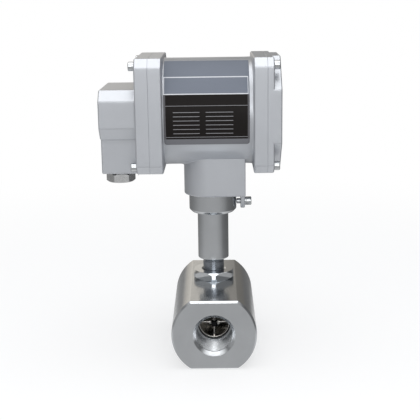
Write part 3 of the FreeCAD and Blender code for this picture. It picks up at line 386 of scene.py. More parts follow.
class Form:
    """One piece in the making. A face's kind is the number of its material."""

    def __init__(self):
        self.points = []
        self.faces = []
        self.kinds = []

    def add(self, points, faces):
        start = len(self.points)
        self.points.extend(np.asarray(points, float).tolist())
        self.faces.extend(tuple(start + k for k in face) for face in faces)
        self.kinds.extend([0] * len(faces))

    def stack(self, plan, axis, closed=False):
        """Skins outlines along an axis, each with its height and the ease of its corner."""
        rows = [lay(flat, height, axis) for flat, height, _ in plan]
        self.add(*skin(eased(rows, [ease for _, _, ease in plan], closed), closed))

    def lathe(self, profile, axis="z", centre=(0, 0), count=96, closed=False):
        """Turns (radius, height) points round a line along an axis. A third number is an ease."""
        unit = circle(1.0, count)
        plan = []
        for radius, height, *ease in profile:
            plan.append((unit * radius + np.array(centre), height, ease[0] if ease else 0))
        self.stack(plan, axis, closed)

    def prism(self, corners, low, high, axis, corner, per_side, ease, bevel=0.0):
        """A closed slab over a polygon, with both ends bevelled where a bevel is given."""
        full = outline(corners, corner, per_side)
        middle = np.tile(np.asarray(corners, float).mean(0), (len(full), 1))
        plan = [(full, low + bevel, ease), (full, high - bevel, ease)]
        if bevel:
            end = outline(inset(corners, bevel), corner, per_side)
            plan = [(end, low, ease), *plan, (end, high, ease)]
        self.stack([(middle, low, 0), *plan, (middle, high, 0)], axis)

    def tint(self, kind, test):
        """Gives faces another material where a test of their middles holds."""
        points = np.array(self.points)
        for k, face in enumerate(self.faces):
            if test(*points[list(face)].mean(0)):
                self.kinds[k] = kind

    def piece(self, name, body, looks, replaces=(), angle=SHARP_ANGLE, slot=None):
        mesh = bpy.data.meshes.new(name)
        mesh.from_pydata((np.array(self.points) * MM).tolist(), [], self.faces)
        for look in looks:
            mesh.materials.append(LOOKS[look])
        mesh.polygons.foreach_set("material_index", self.kinds)
        work = bmesh.new()
        work.from_mesh(mesh)
        bmesh.ops.remove_doubles(work, verts=work.verts, dist=WELD)
        bmesh.ops.dissolve_degenerate(work, edges=work.edges, dist=SPECK)
        bmesh.ops.recalc_face_normals(work, faces=work.faces)
        work.to_mesh(mesh)
        work.free()
        mesh.polygons.foreach_set("use_smooth", [True] * len(mesh.polygons))
        mesh.set_sharp_from_angle(angle=math.radians(angle))
        made = add_object(name, mesh)
        weights = made.modifiers.new("weights", "WEIGHTED_NORMAL")
        weights.keep_sharp = True
        weights.weight = NORMAL_WEIGHT
        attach(made, body)
        if replaces:
            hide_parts(*replaces)


# Pipe body: the two flats, bevelled ends, countersunk and threaded ports, stepped bore

BAR_RADIUS = 22.5
BAR_FLAT = PIPE_Z
BAR_BEVEL, BAR_EDGE = 1.0, 0.35
INLET_END, OUTLET_END = -45.0, 33.0
MOUTH, PORT, SEAT, GROOVE, FLOW_BORE = 11.3, 9.5, 8.8, 9.35, 7.5
THREAD_DEPTH, THREAD_PITCH = 0.98, 1.814


def bar_ring(depth):
    """The bar's section, a round with two flats, every side moved in by a depth."""
    radius, flat = BAR_RADIUS - depth, BAR_FLAT - depth
    half = math.sqrt(radius * radius - flat * flat)
    angle = math.atan2(flat, half)
    arc = np.linspace(-angle + BAR_EDGE / radius, angle - BAR_EDGE / radius, 48)
    line = np.linspace(half - BAR_EDGE, BAR_EDGE - half, 24)
    right = np.stack([radius * np.cos(arc), radius * np.sin(arc)], 1)
    top = np.stack([line, np.full(len(line), flat)], 1)
    sides = [right, top, -right, -top]
    corners = np.array([(half, flat), (-half, flat), (-half, -flat), (half, -flat)])
    made = []
    for side, corner, following in zip(sides, corners, sides[1:] + sides[:1]):
        made.extend(side)
        made.extend(bow(side[-1], corner, following[0], s) for s in (0.25, 0.5, 0.75))
    return np.array(made)


def thread_steps(start, end):
    """The profile of a port's thread between two stations."""
    step = math.copysign(THREAD_PITCH, end - start)
    deep, ease = PORT + THREAD_DEPTH, 0.04
    made = []
    for turn in range(int(abs(end - start) / THREAD_PITCH)):
        at = start + step * turn
        made += [(PORT, at, ease), (deep, at + step * 0.38, ease)]
        made += [(deep, at + step * 0.5, ease), (PORT, at + step * 0.88, ease)]
    return made


def make_pipe_body():
    form = Form()
    round_to = around(bar_ring(0))
    inlet_wall, outlet_wall = -43.2, 31.2
    inlet_floor, outlet_floor, shoulder = -27.4, 15.45, 6.5
    before = [
        (SEAT, inlet_floor, 0.15), (PORT, inlet_floor, 0.1), *thread_steps(-28.3, -42.9),
        (PORT, inlet_wall, 0.1), (MOUTH, INLET_END, 0.25),
    ]
    bar = [
        (bar_ring(BAR_BEVEL), INLET_END, 0.22), (bar_ring(0), INLET_END + BAR_BEVEL, 0.22),
        (bar_ring(0), OUTLET_END - BAR_BEVEL, 0.22), (bar_ring(BAR_BEVEL), OUTLET_END, 0.22),
    ]
    after = [
        (MOUTH, OUTLET_END, 0.25), (PORT, outlet_wall, 0.1), *thread_steps(30.9, 16.3),
        (PORT, outlet_floor, 0.1), (SEAT, outlet_floor, 0.15),
        (SEAT, 14.4, 0), (GROOVE, 14.4, 0), (GROOVE, 13.35, 0), (SEAT, 13.35, 0),
        (SEAT, shoulder, 0), (FLOW_BORE, shoulder, 0.1), (FLOW_BORE, -shoulder, 0.1), (SEAT, -shoulder, 0),
        (SEAT, -25.35, 0), (GROOVE, -25.35, 0), (GROOVE, -26.4, 0), (SEAT, -26.4, 0),
    ]
    before, after = ([(round_to(step[0]), *step[1:]) for step in steps] for steps in (before, after))
    form.stack(before + bar + after, "y", closed=True)
    # The threads are deeper than the port's wall and lie inside this radius
    inside = PORT + THREAD_DEPTH + 0.12
    form.tint(1, lambda x, y, z: math.hypot(x, z - PIPE_Z) < inside and inlet_wall < y < outlet_wall)
    form.piece("pipe_body", "meter", ["body_steel", "bore_steel"], ["meter_body"])


# Flow straighteners: thin sleeve, hub, and four vanes with rounded leading edges

SLEEVE_OUTSIDE, SLEEVE_INSIDE = 8.75, 7.75
HUB_OUTSIDE, HUB_INSIDE = 1.8, 1.21
VANE_FOOT, VANE_TIP, VANE_HALF = 1.5, 8.0, 0.45


def make_straightener(name, sign, length, replaces):
    form = Form()
    near, far = 6.55 * sign, (6.55 + length) * sign
    end = far - 1.2 * sign
    outer, inner = SLEEVE_OUTSIDE, SLEEVE_INSIDE
    form.lathe([(outer, near), (outer, far, 0.2), (inner, far, 0.3), (inner, near)], "y", closed=True)
    hub = [(HUB_INSIDE, near), (HUB_OUTSIDE, near), (HUB_OUTSIDE, end, 0.2), (HUB_INSIDE, end)]
    form.lathe(hub, "y", count=48, closed=True)
    for across, up in ((1, 0), (0, 1), (-1, 0), (0, -1)):
        foot, tip = np.array([across, up]) * VANE_FOOT, np.array([across, up]) * VANE_TIP
        side = np.array([-up, across]) * VANE_HALF
        vane = [foot - side, tip - side, tip + side, foot + side]
        form.prism(vane, *sorted((near, end)), "y", 0.02, 3, 0.2)
    form.piece(name, "meter", ["vane_steel"], [replaces])


def make_retaining_ring(name, low, high, replaces):
    """A spring ring, open at the top, whose section is swept round the pipe's axis."""
    form = Form()
    inside, outside, half_gap = 8.15, 9.3, 1.5
    gap = math.asin(half_gap / inside)
    section = outline([(inside, low), (outside, low), (outside, high), (inside, high)], 0.12, 1)
    middle = np.tile(section.mean(0), (len(section), 1))
    angles = np.linspace(math.pi / 2 + gap, math.pi * 2.5 - gap, 97)
    rows = []
    for flat, angle in [(middle, angles[0])] + [(section, a) for a in angles] + [(middle, angles[-1])]:
        across, up = flat[:, 0] * math.cos(angle), flat[:, 0] * math.sin(angle)
        rows.append(np.stack([across, flat[:, 1], up + PIPE_Z], 1))
    form.add(*skin(rows))
    form.piece(name, "meter", ["spring_steel"], [replaces])


# Stem: hexagon nut, threaded end and tube, collar

STUB, STEM, STEM_BORE = 5.8, 8.5, 6.7
STEM_TOP = 95.7
COLLAR, COLLAR_BORE, COLLAR_GROOVE = 13.0, 8.6, 11.5


def turned_hexagon(across_flats, reach):
    """A hexagon with a flat at each side along X, its corners turned down to a radius."""
    half = across_flats / 2
    swing = math.acos(half / reach)
    made = []
    for k in range(6):
        middle = math.radians(60 * k)
        spots = [(half / math.cos(t), middle + t) for t in np.linspace(-swing, swing, 19)]
        spots += [(reach, middle + t) for t in np.linspace(swing, math.radians(60) - swing, 7)[1:-1]]
        made.extend((radius * math.cos(turn), radius * math.sin(turn)) for radius, turn in spots)
    return np.array(made)


def make_nut():
    form = Form()
    flat = turned_hexagon(22.0, 12.15)
    hole, rim, low, high = 5.9, 10.85, 37.5, 42.2
    slope = np.maximum(np.linalg.norm(flat, axis=1) - rim, 0)
    round_to = around(flat)
    form.stack([
        (round_to(hole), low + 0.4, 0), (round_to(6.4), low, 0), (round_to(rim), low, 0.1),
        (flat, low + slope, 0.08), (flat, high - slope, 0.08),
        (round_to(rim), high, 0.1), (round_to(6.7), high, 0.15), (round_to(hole), high - 0.8, 0),
    ], "z", closed=True)
    form.piece("lock_nut_hex", "meter", ["nut_steel"], ["lock_nut"], angle=20, slot="bright_steel")


def make_stem():
    form = Form()
    foot, floor, well, undercut = 28.3, 51.2, 4.0, 5.5
    form.lathe([
        (well, foot), (5.3, foot, 0.2), (STUB, 28.8, 0.2), (STUB, 46.9, 0.2), (undercut, 47.2, 0.1),
        (undercut, 47.6, 0.1), (5.9, 47.9), (STEM, 49.2, 0.35), (STEM, STEM_TOP, 0.3),
        (STEM_BORE, STEM_TOP), (STEM_BORE, floor), (well, floor),
    ], count=128, closed=True)
    # The threaded end below the undercut takes the darker copy of the stem's steel, a painted shade
    form.tint(1, lambda x, y, z: math.hypot(x, y) < 5.95 and z < 47.85)
    form.piece("stem", "meter", ["bright_steel", "stub_steel_painted_shade"], ["stem_tube"])
    form = Form()
    foot, groove_foot, groove_head, lip, head = 75.5, 90.8, 92.4, 95.75, 96.9
    form.lathe([
        (COLLAR_BORE, foot, 0.2), (11.4, foot, 0.35), (COLLAR, 77.1, 0.35), (COLLAR, groove_foot, 0.1),
        (COLLAR_GROOVE, groove_foot), (COLLAR_GROOVE, groove_head), (COLLAR, groove_head, 0.1),
        (COLLAR, head, 0.3), (STEM_BORE, head, 0.2), (STEM_BORE, lip), (COLLAR_BORE, lip),
    ], count=128, closed=True)
    form.piece("collar", "meter", ["bright_steel"], ["stem_collar"])


# Housing: flanges and shell as one skin, the neck with its blended root, the lug

SHELL, SHELL_BORE, SHELL_SIDE = 28.6, 25.6, 27.9
FLANGE_HALF, FLANGE_CUT, FLANGE_EDGE = 30.0, 4.6, 0.5
LEFT_SEAM, RIGHT_SEAM = -32.4, 28.8
SEAM_CUT, SEAM_EASE = 0.1, 0.04
LEFT_FACE, RIGHT_FACE, BOX_FACE = -39.4, 32.3, -58.6
NECK_FRONT, NECK_LEFT, NECK_RIGHT = 15.5, 15.5, 17.7
NECK_CORNER, NECK_CENTRE, NECK_BEND = 13.0, 2.5, 0.6
NECK_FOOT = 86.3
CLAMP_UP = 80.8 - HEAD_Z
LUG_HALF = 3.9


def flange(half, corner_cut, per_side):
    """Two functions for an octagon: its outline moved in by a depth, and circles in step with it."""
    corners = octagon(half, corner_cut)

    def cut(depth):
        return outline(inset(corners, depth), FLANGE_EDGE, per_side)

    return cut, around(cut(0))


def shell_under(across):
    """Height of the shell's underside at a distance in front of the head's axis."""
    return HEAD_Z - np.sqrt(SHELL * SHELL - np.minimum(across * across, SHELL_SIDE ** 2))


def straight(start, end, count):
    """Evenly spaced points between two ends, without the ends."""
    return np.stack([np.linspace(a, b, count + 2)[1:-1] for a, b in zip(start, end)], 1)


def neck_ring(depth):
    """Plan of the neck, moved in by a depth: square corners at the right, round ones at the left."""
    left, front, right = NECK_LEFT - depth, NECK_FRONT - depth, NECK_RIGHT - depth
    middle, bend = NECK_CENTRE, NECK_BEND
    along, up = np.array([bend, 0]), np.array([0, bend])
    shares = np.linspace(0, 1, 7)[:, None]

    def round_corner(at, start):
        angles = start + np.linspace(0, math.pi / 2, 25)
        return np.array([-middle, at]) + (NECK_CORNER - depth) * np.stack([np.cos(angles), np.sin(angles)], 1)

    def square_corner(at, back, on):
        peak = np.array([right, at])
        return bow(peak + back, peak, peak + on, shares)

    return np.concatenate([
        straight((-left, middle), (-left, -middle), 6),
        round_corner(-middle, math.pi),
        straight((-middle, -front), (right - bend, -front), 20),
        square_corner(-front, -along, up),
        straight((right, -front + bend), (right, front - bend), 24),
        square_corner(front, -up, -along),
        straight((right - bend, front), (-middle, front), 20),
        round_corner(middle, math.pi / 2),
    ])


def make_neck(form):
    plan = neck_ring(0)
    ahead = np.roll(plan, -1, 0) - np.roll(plan, 1, 0)
    out = np.stack([ahead[:, 1], -ahead[:, 0]], 1)
    out /= np.linalg.norm(out, axis=1, keepdims=True)
    # The curve at the root grows towards the left side
    drop = 0.1 + 0.7 * np.clip(-out[:, 0], 0, 1) ** 4
    root = plan + out * (drop * 0.35 + 0.05)[:, None]
    spread = plan + out * (drop * 1.6 + 0.6)[:, None]
    round_to = around(plan)
    bore = COLLAR + 0.05
    form.stack([
        (round_to(bore), 86.9, 0), (round_to(13.35), NECK_FOOT, 0), (neck_ring(0.5), NECK_FOOT, 0.2),
        (plan, 86.8, 0.2), (plan, shell_under(plan[:, 1]) - drop, 0),
        (root, shell_under(root[:, 1]) - drop * 0.25, 0.9), (spread, shell_under(spread[:, 1]) + 0.02, 0),
    ], "z")
    form.lathe([(bore, 86.7), (bore, 97.0), (7.0, 97.0), (7.0, 106.0)])
    lug = [(LUG_HALF, 88.5 - HEAD_Z), (-LUG_HALF, 88.5 - HEAD_Z)]
    for turn in np.linspace(math.pi, 2 * math.pi, 17):
        lug.append((LUG_HALF * math.cos(turn), CLAMP_UP + LUG_HALF * math.sin(turn)))
    form.prism(lug, 15.3, 17.7, "x", 0.15, 2, 0.1, bevel=0.3)


def make_housing():
    form = Form()
    cut, round_to = flange(FLANGE_HALF, FLANGE_CUT, 20)
    root = round_to(SHELL + 0.1)
    left, right = -25.4, 21.8
    form.stack([
        (round_to(SHELL_BORE), LEFT_SEAM, 0), (cut(SEAM_CUT), LEFT_SEAM, SEAM_EASE),
        (cut(0), LEFT_SEAM + SEAM_CUT, SEAM_EASE), (cut(0), left - FLANGE_EDGE, 0.2),
        (cut(FLANGE_EDGE), left, 0.2), (root, left, 0.7),
        (round_to(SHELL), -22.0, 0), (round_to(SHELL), 18.0, 0), (root, right, 0.7),
        (cut(FLANGE_EDGE), right, 0.2), (cut(0), right + FLANGE_EDGE, 0.2),
        (cut(0), RIGHT_SEAM - SEAM_CUT, SEAM_EASE), (cut(SEAM_CUT), RIGHT_SEAM, SEAM_EASE),
        (round_to(SHELL_BORE), RIGHT_SEAM, 0),
    ], "x", closed=True)
    make_neck(form)
    reach = 22.2 * math.sqrt(0.5)
    post = [(1.3, -12.0), (3.8, -12.0, 0.3), (3.8, -2.0, 0.3), (1.3, -2.0)]
    for across, up in ((1, 1), (1, -1), (-1, 1), (-1, -1)):
        form.lathe(post, "x", (reach * across, reach * up), 32, closed=True)
    form.piece("housing_casting", "head", ["cast_grey"], ["housing"])


def make_terminal_cover():
    form = Form()
    cut, round_to = flange(FLANGE_HALF, FLANGE_CUT, 14)
    form.stack([
        (round_to(20.0), LEFT_SEAM, 0), (cut(SEAM_CUT), LEFT_SEAM, SEAM_EASE),
        (cut(0), LEFT_SEAM - SEAM_CUT, SEAM_EASE), (cut(0), LEFT_FACE + FLANGE_EDGE, 0.2),
        (cut(FLANGE_EDGE), LEFT_FACE, 0.2), (round_to(0.0), LEFT_FACE, 0),
    ], "x")
    box = [
        (-18, -31), (18, -31), (18, -12.2), (21.1, -12.2), (26.5, -5.8), (26.5, 8.4), (21.1, 13.8),
        (-21.1, 13.8), (-26.5, 8.4), (-26.5, -5.8), (-21.1, -12.2), (-18, -12.2),
    ]
    full, end, foot = (outline(inset(box, depth), 0.5, 8) for depth in (0, 0.5, -0.9))
    middle = np.tile([0.0, -5.0], (len(full), 1))
    form.stack([
        (middle, BOX_FACE, 0), (end, BOX_FACE, 0.2), (full, BOX_FACE + 0.5, 0.2),
        (full, LEFT_FACE, 0.8), (foot, LEFT_FACE + 0.02, 0),
    ], "x")
    form.piece("terminal_cover_casting", "head", ["cast_grey"], ["terminal_cover"])


WINDOW, GLASS_SEAT = 18.0, 20.65
PAD_BACK, PAD_FACE, GLASS_FACE = 28.9, 36.2, 33.8


def make_display_cover():
    form = Form()
    cut, round_to = flange(29.99, FLANGE_CUT, 14)
    form.stack([
        (round_to(GLASS_SEAT), RIGHT_SEAM, 0), (cut(SEAM_CUT), RIGHT_SEAM, SEAM_EASE),
        (cut(0), RIGHT_SEAM + SEAM_CUT, SEAM_EASE), (cut(0), RIGHT_FACE - FLANGE_EDGE, 0.2),
        (cut(FLANGE_EDGE), RIGHT_FACE, 0.2), (round_to(GLASS_SEAT), RIGHT_FACE, 0),
    ], "x", closed=True)
    cut, round_to = flange(FLANGE_HALF, 16.2, 14)
    form.stack([
        (round_to(GLASS_SEAT), PAD_BACK, 0), (cut(SEAM_CUT), PAD_BACK, 0), (cut(0), PAD_BACK + 0.08, 0),
        (cut(0), PAD_FACE - FLANGE_EDGE, 0.2), (cut(FLANGE_EDGE), PAD_FACE, 0.2),
        (round_to(WINDOW + 0.5), PAD_FACE, 0.15), (round_to(WINDOW), PAD_FACE - 0.5, 0.15),
        (round_to(WINDOW), GLASS_FACE, 0), (round_to(GLASS_SEAT), GLASS_FACE, 0),
    ], "x", closed=True)
    form.piece("display_cover_casting", "head", ["cast_grey"], ["display_cover"])


# Fasteners

SCREW_SHANK, SCREW_HEAD, SCREW_HEAD_LENGTH = 1.5, 2.35, 3.0
KNURL = 0.05


def cap_screw(form, seat, sign, centre, length):
    """A socket-head screw along X with a knurled head and a hexagon socket."""
    shank, head, tall = SCREW_SHANK, SCREW_HEAD, SCREW_HEAD_LENGTH
    socket_ring = outline(hexagon(head / math.sqrt(3)), 0.05, 8)
    count = len(socket_ring)
    unit = circle(1.0, count)
    knurled = unit * (head - np.where(np.arange(count) % 2, KNURL, 0.0)[:, None])
    plan = [
        (unit * 0.0, -length, 0), (unit * (shank - 0.3), -length, 0), (unit * shank, 0.3 - length, 0),
        (unit * shank, 0.0, 0), (unit * (head - 0.12), 0.0, 0.05),
        (knurled, 0.2, 0), (knurled, tall - 0.45, 0),
        (unit * (head - 0.02), tall - 0.3, 0.08), (unit * (head - 0.3), tall, 0.1),
        (socket_ring * 1.06, tall, 0.05), (socket_ring, tall - 0.1, 0), (socket_ring, tall * 0.45, 0),
        (unit * 0.0, tall * 0.38, 0),
    ]
    form.stack([(flat + np.array(centre), seat + sign * height, ease) for flat, height, ease in plan], "x")


def make_screws():
    across, up = 25.2, 26.1
    corners = [(-across, up), (across, up), (across, -up), (-across, -up)]
    for name, replaced, seat, sign, centres, length in (
        ("left_cover_screws", "terminal_cover_screws", LEFT_FACE, -1, corners, 12.5),
        ("right_cover_screws", "display_cover_screws", RIGHT_FACE, 1, corners, 9.0),
        ("clamp_screw_cap", "clamp_screw", 18.3, 1, [(0, CLAMP_UP)], 5.2),
    ):
        form = Form()
        for centre in centres:
            cap_screw(form, seat, sign, centre, length)
        form.piece(name, "head", ["screw_steel"], [replaced])


def make_plug():
    form = Form()
    centre = np.array([-50.4, 0.0])
    flat = outline(hexagon(13.9 / math.sqrt(3), math.radians(8)), 0.3, 16)
    rim, shoulder, shank = 6.6, 6.95, 5.9
    low, high, seat, end = 92.9, 97.9, 99.1, 105.6
    slope = np.maximum(np.linalg.norm(flat, axis=1) - rim, 0) * math.tan(math.radians(30))
    round_to = around(flat)
    plan = [
        (round_to(0), low + 0.25, 0), (round_to(3.6), low + 0.25, 0.1), (round_to(4.0), low, 0.1),
        (round_to(rim), low, 0.2), (flat, low + slope, 0.12), (flat, high - slope, 0.12),
        (round_to(rim), high, 0.1), (round_to(shoulder), high, 0.1), (round_to(shoulder), seat, 0.2),
        (round_to(shank), seat, 0), (round_to(shank), 105.0, 0.2),
        (round_to(5.3), end, 0.2), (round_to(0), end, 0),
    ]
    form.stack([(ring + centre, height, ease) for ring, height, ease in plan], "z")
    form.piece("blanking_plug_hex", "head", ["nickel_brass"], ["blanking_plug"])


# Rating plates: thin curved plates with borders, rules and short bars in place of text

PLATE_OUTSIDE, PLATE_INSIDE = 28.93, 28.5
PLATE_LEFT, PLATE_RIGHT = -24.7, 19.6
PLATE_TOP, PLATE_SEAM, PLATE_FOOT = 27.5, 11.5, -14.6
PLATE_EDGE, PLATE_ROLL = 0.12, 0.08


def curved_plate(x_lines, heights, kind_of, corner):
    """A plate on the shell, with rows at heights from the head's axis. Its foot may be rounded."""
    outer = PLATE_OUTSIDE
    reach = [math.asin(height / outer) * outer for height in sorted(heights)]
    lines = {reach[-1]}
    for low, high in zip(reach, reach[1:]):
        lines |= set(np.linspace(low, high, max(2, int((high - low) / 0.9) + 2))[:-1])
    if corner:
        lines |= {reach[0] + corner * (1 - math.cos(t)) for t in np.linspace(0, math.pi / 2, 7)}
    lines = sorted(lines | {min(lines) + PLATE_EDGE, max(lines) - PLATE_EDGE})
    across = sorted(set(x_lines) | {min(x_lines) + PLATE_EDGE, max(x_lines) - PLATE_EDGE})
    left, right = across[0], across[-1]
    top, under = [], []
    for s in lines:
        pull = 0.0
        if corner and s - lines[0] < corner:
            pull = corner - math.sqrt(corner ** 2 - (corner - (s - lines[0])) ** 2)
        angle = s / outer
        for x in across:
            rim = x in (left, right) or s in (lines[0], lines[-1])
            place = min(max(x, left + pull), right - pull)
            for points, radius in ((top, outer - (PLATE_ROLL if rim else 0)), (under, PLATE_INSIDE)):
                points.append((place, -radius * math.cos(angle), HEAD_Z + radius * math.sin(angle)))
    wide, tall = len(across), len(lines)
    count = wide * tall
    quads = grid(wide, tall)
    rim = list(range(wide)) + [(j + 1) * wide - 1 for j in range(1, tall)]
    rim += [count - 1 - i for i in range(1, wide)] + [j * wide for j in range(tall - 2, 0, -1)]
    walls = [(rim[k], rim[k - 1], rim[k - 1] + count, rim[k] + count) for k in range(len(rim))]
    back = [(a + count, d + count, c + count, b + count) for a, b, c, d in quads]
    form = Form()
    form.add(top + under, quads + walls + back)
    middles = [(low + high) / 2 for low, high in zip(across, across[1:])]
    levels = [math.sin((low + high) / 2 / outer) * outer for low, high in zip(lines, lines[1:])]
    form.kinds[:len(quads)] = [kind_of(x, height) for height in levels for x in middles]
    return form


def make_upper_plate():
    left, right, border = PLATE_LEFT + 0.2, 19.0, 0.3
    foot, inner_foot, inner_head, head = PLATE_SEAM, 11.99, 19.67, 20.14

    def kind(x, height):
        framed = x < right and foot < height < head
        inside = left + border < x < right - border and inner_foot < height < inner_head
        return 1 if framed and not inside else 0

    form = curved_plate(
        [PLATE_LEFT, left, left + border, -12.0, 0.0, 10.0, right - border, right, PLATE_RIGHT],
        [foot, inner_foot, 13.5, 15.5, 17.5, inner_head, head, 22.5, 25.0, 27.2, PLATE_TOP], kind, 0,
    )
    looks = ["plate_blue_grey", "print_white"]
    form.piece("upper_plate_printed", "head", looks, ["upper_plate"], slot="plate_blue_grey")


def make_rating_plate():
    bar_drop, bar_thick = 0.75, 0.32
    left, right = PLATE_LEFT + 1.05, 18.55
    columns = ((-19.8, -6.2), (-3.0, 11.1))
    foot_top = -11.46
    rules = ((-10.51, -10.24), (5.83, 6.08))
    entries = (3.57, 1.42, -0.76, -2.97, -5.21, -7.48)
    bars = [(entry - bar_drop - bar_thick, entry - bar_drop) for entry in entries]

    def kind(x, height):
        if height < foot_top:
            return 2
        if not left < x < right:
            return 3
        if any(low < height < high for low, high in rules):
            return 1
        in_bar = any(low < height < high for low, high in bars)
        return 1 if in_bar and any(start < x < end for start, end in columns) else 0

    heights = [PLATE_FOOT, -13.6, -12.6, foot_top, 7.8, 9.6, PLATE_SEAM]
    for band in (*rules, *bars):
        heights += band
    form = curved_plate(
        [PLATE_LEFT, left, -19.8, -13.0, -6.2, -3.0, 4.0, 11.1, 15.5, right, PLATE_RIGHT], heights, kind, 1.6,
    )
    looks = ["plate_black", "print_grey", "print_foot", "print_edge"]
    form.piece("rating_plate_printed", "head", looks, ["rating_plate"], slot="plate_black")


# Display window: glass, the mask and plain figures on the display

MASK_BACK, MASK_FACE = 27.2, 28.2


def make_window():
    form = Form()
    back, radius, edge = 30.8, 20.6, 0.2
    form.lathe([
        (0, back), (radius - edge, back, 0.1), (radius, back + edge, 0.05),
        (radius, GLASS_FACE - edge, 0.05), (radius - edge, GLASS_FACE, 0.1), (0, GLASS_FACE),
    ], "x")
    form.piece("window_pane", "head", ["clear_glass"], ["window_glass"])
    form = Form()
    hole = outline(rectangle(14.5, 8.5), 1.0, 10)
    open_out = outline(rectangle(15.0, 9.0), 1.2, 10)
    rim = circle(22.0, like=hole)
    form.stack([
        (hole, MASK_BACK, 0), (rim, MASK_BACK, 0.1), (rim, MASK_FACE, 0.1),
        (open_out, MASK_FACE, 0.1), (hole, 27.7, 0.1),
    ], "x", closed=True)
    form.piece("display_mask_card", "head", ["mask_black"], ["display_mask"])


def make_figures():
    """Three noughts of six strokes and a point."""
    form = Form()
    half, tall, bar, gap = 2.1, 3.6, 0.62, 0.25
    strokes = (
        ((-half, tall), (half, tall)), ((half, 0), (half, tall)), ((half, -tall), (half, 0)),
        ((-half, -tall), (half, -tall)), ((-half, -tall), (-half, 0)), ((-half, 0), (-half, tall)),
    )
    shapes = []
    for place in (-8.4, -1.2, 6.0):
        for (y0, z0), (y1, z1) in strokes:
            along = np.array([y1 - y0, z1 - z0]) / math.hypot(y1 - y0, z1 - z0)
            lead = along * bar / 2
            side = np.array([-along[1], along[0]]) * bar / 2
            start = np.array([y0 + place, z0]) + along * gap
            end = np.array([y1 + place, z1]) - along * gap
            head, tail = end - lead, start + lead
            shapes.append([start, tail - side, head - side, end, head + side, tail + side])
    dot, dot_half = 2.5, 0.4
    left, right = dot - dot_half, dot + dot_half
    low, high = -4.0, -3.2
    shapes.append([(left, low), (right, low), (right, high), (left, high)])
    for shape in shapes:
        form.prism(shape, MASK_BACK, MASK_BACK + 0.1, "x", 0.05, 1, 0)
    form.piece("display_figures", "head", ["segment_dark"], slot="display_grey")


make_pipe_body()
make_straightener("inlet_vanes", -1, 18.8, "inlet_straightener")
make_straightener("outlet_vanes", 1, 6.8, "outlet_straightener")
make_retaining_ring("inlet_spring_ring", -26.4, -25.4, "inlet_retaining_ring")
make_retaining_ring("outlet_spring_ring", 13.4, 14.4, "outlet_retaining_ring")
make_nut()
make_stem()
make_housing()
make_terminal_cover()
make_display_cover()
make_screws()
make_plug()
make_upper_plate()
make_rating_plate()
make_window()
make_figures()


# Camera: set where the object stood in the photograph

CAMERA_PLACE = (2.1005, -500.4228, 193.0651)
CAMERA_PITCH, CAMERA_YAW, CAMERA_ROLL = 0.2304, -0.0075, -0.0132
FOCAL_PIXELS, IMAGE_PIXELS, SENSOR_WIDTH = 924.6821, 420, 36


def aim_camera():
    pitch, yaw, roll = CAMERA_PITCH, CAMERA_YAW, CAMERA_ROLL
    ahead = Vector((math.sin(yaw) * math.cos(pitch), math.cos(yaw) * math.cos(pitch), -math.sin(pitch)))
    right = Vector((math.cos(yaw), -math.sin(yaw), 0))
    above = right.cross(ahead)
    across = right * math.cos(roll) + above * math.sin(roll)
    upward = above * math.cos(roll) - right * math.sin(roll)
    data = bpy.data.cameras.new("camera")
    data.lens = FOCAL_PIXELS * SENSOR_WIDTH / IMAGE_PIXELS
    data.sensor_width = SENSOR_WIDTH
    data.clip_start = 0.01
    data.clip_end = 20
    camera = add_object("camera", data)
    turn = Matrix((across, upward, -ahead)).transposed().to_4x4()
    camera.matrix_world = Matrix.Translation(Vector(CAMERA_PLACE) * MM) @ turn
    bpy.context.scene.camera = camera


aim_camera()


# Stage: pale floor, white surroundings and soft lamps

GLOW = 0.55


def cleared(owner, output):
    """Empties the nodes of a material or world, and gives its tree and its surface socket."""
    owner.use_nodes = True
    tree = owner.node_tree
    tree.nodes.clear()
    return tree, tree.nodes.new(output).inputs["Surface"]


def shader(tree, kind, **values):
    made = tree.nodes.new(kind)
    for name, value in values.items():
        made.inputs[name].default_value = value
    return made.outputs[0]


def joined(tree, kind, *sources):
    """A node that joins sources in the order of its sockets."""
    made = tree.nodes.new(kind)
    for source, socket in zip(sources, made.inputs):
        tree.links.new(source, socket)
    return made.outputs[0]


def light_path_share(tree):
    """1 for camera, mirror and glass rays."""
    path = tree.nodes.new("ShaderNodeLightPath")
    total = path.outputs["Is Camera Ray"]
    for name in ("Is Glossy Ray", "Is Transmission Ray"):
        total = joined(tree, "ShaderNodeMath", total, path.outputs[name])
        total.node.operation = "MAXIMUM"
    return total


def make_world():
    world = bpy.data.worlds.new("studio")
    bpy.context.scene.world = world
    tree, surface = cleared(world, "ShaderNodeOutputWorld")
    soft = shader(tree, "ShaderNodeBackground", Color=(0.95, 0.97, 1.0, 1), Strength=GLOW)
    white = shader(tree, "ShaderNodeBackground", Color=(1, 1, 1, 1), Strength=1.0)
    tree.links.new(joined(tree, "ShaderNodeMixShader", light_path_share(tree), soft, white), surface)


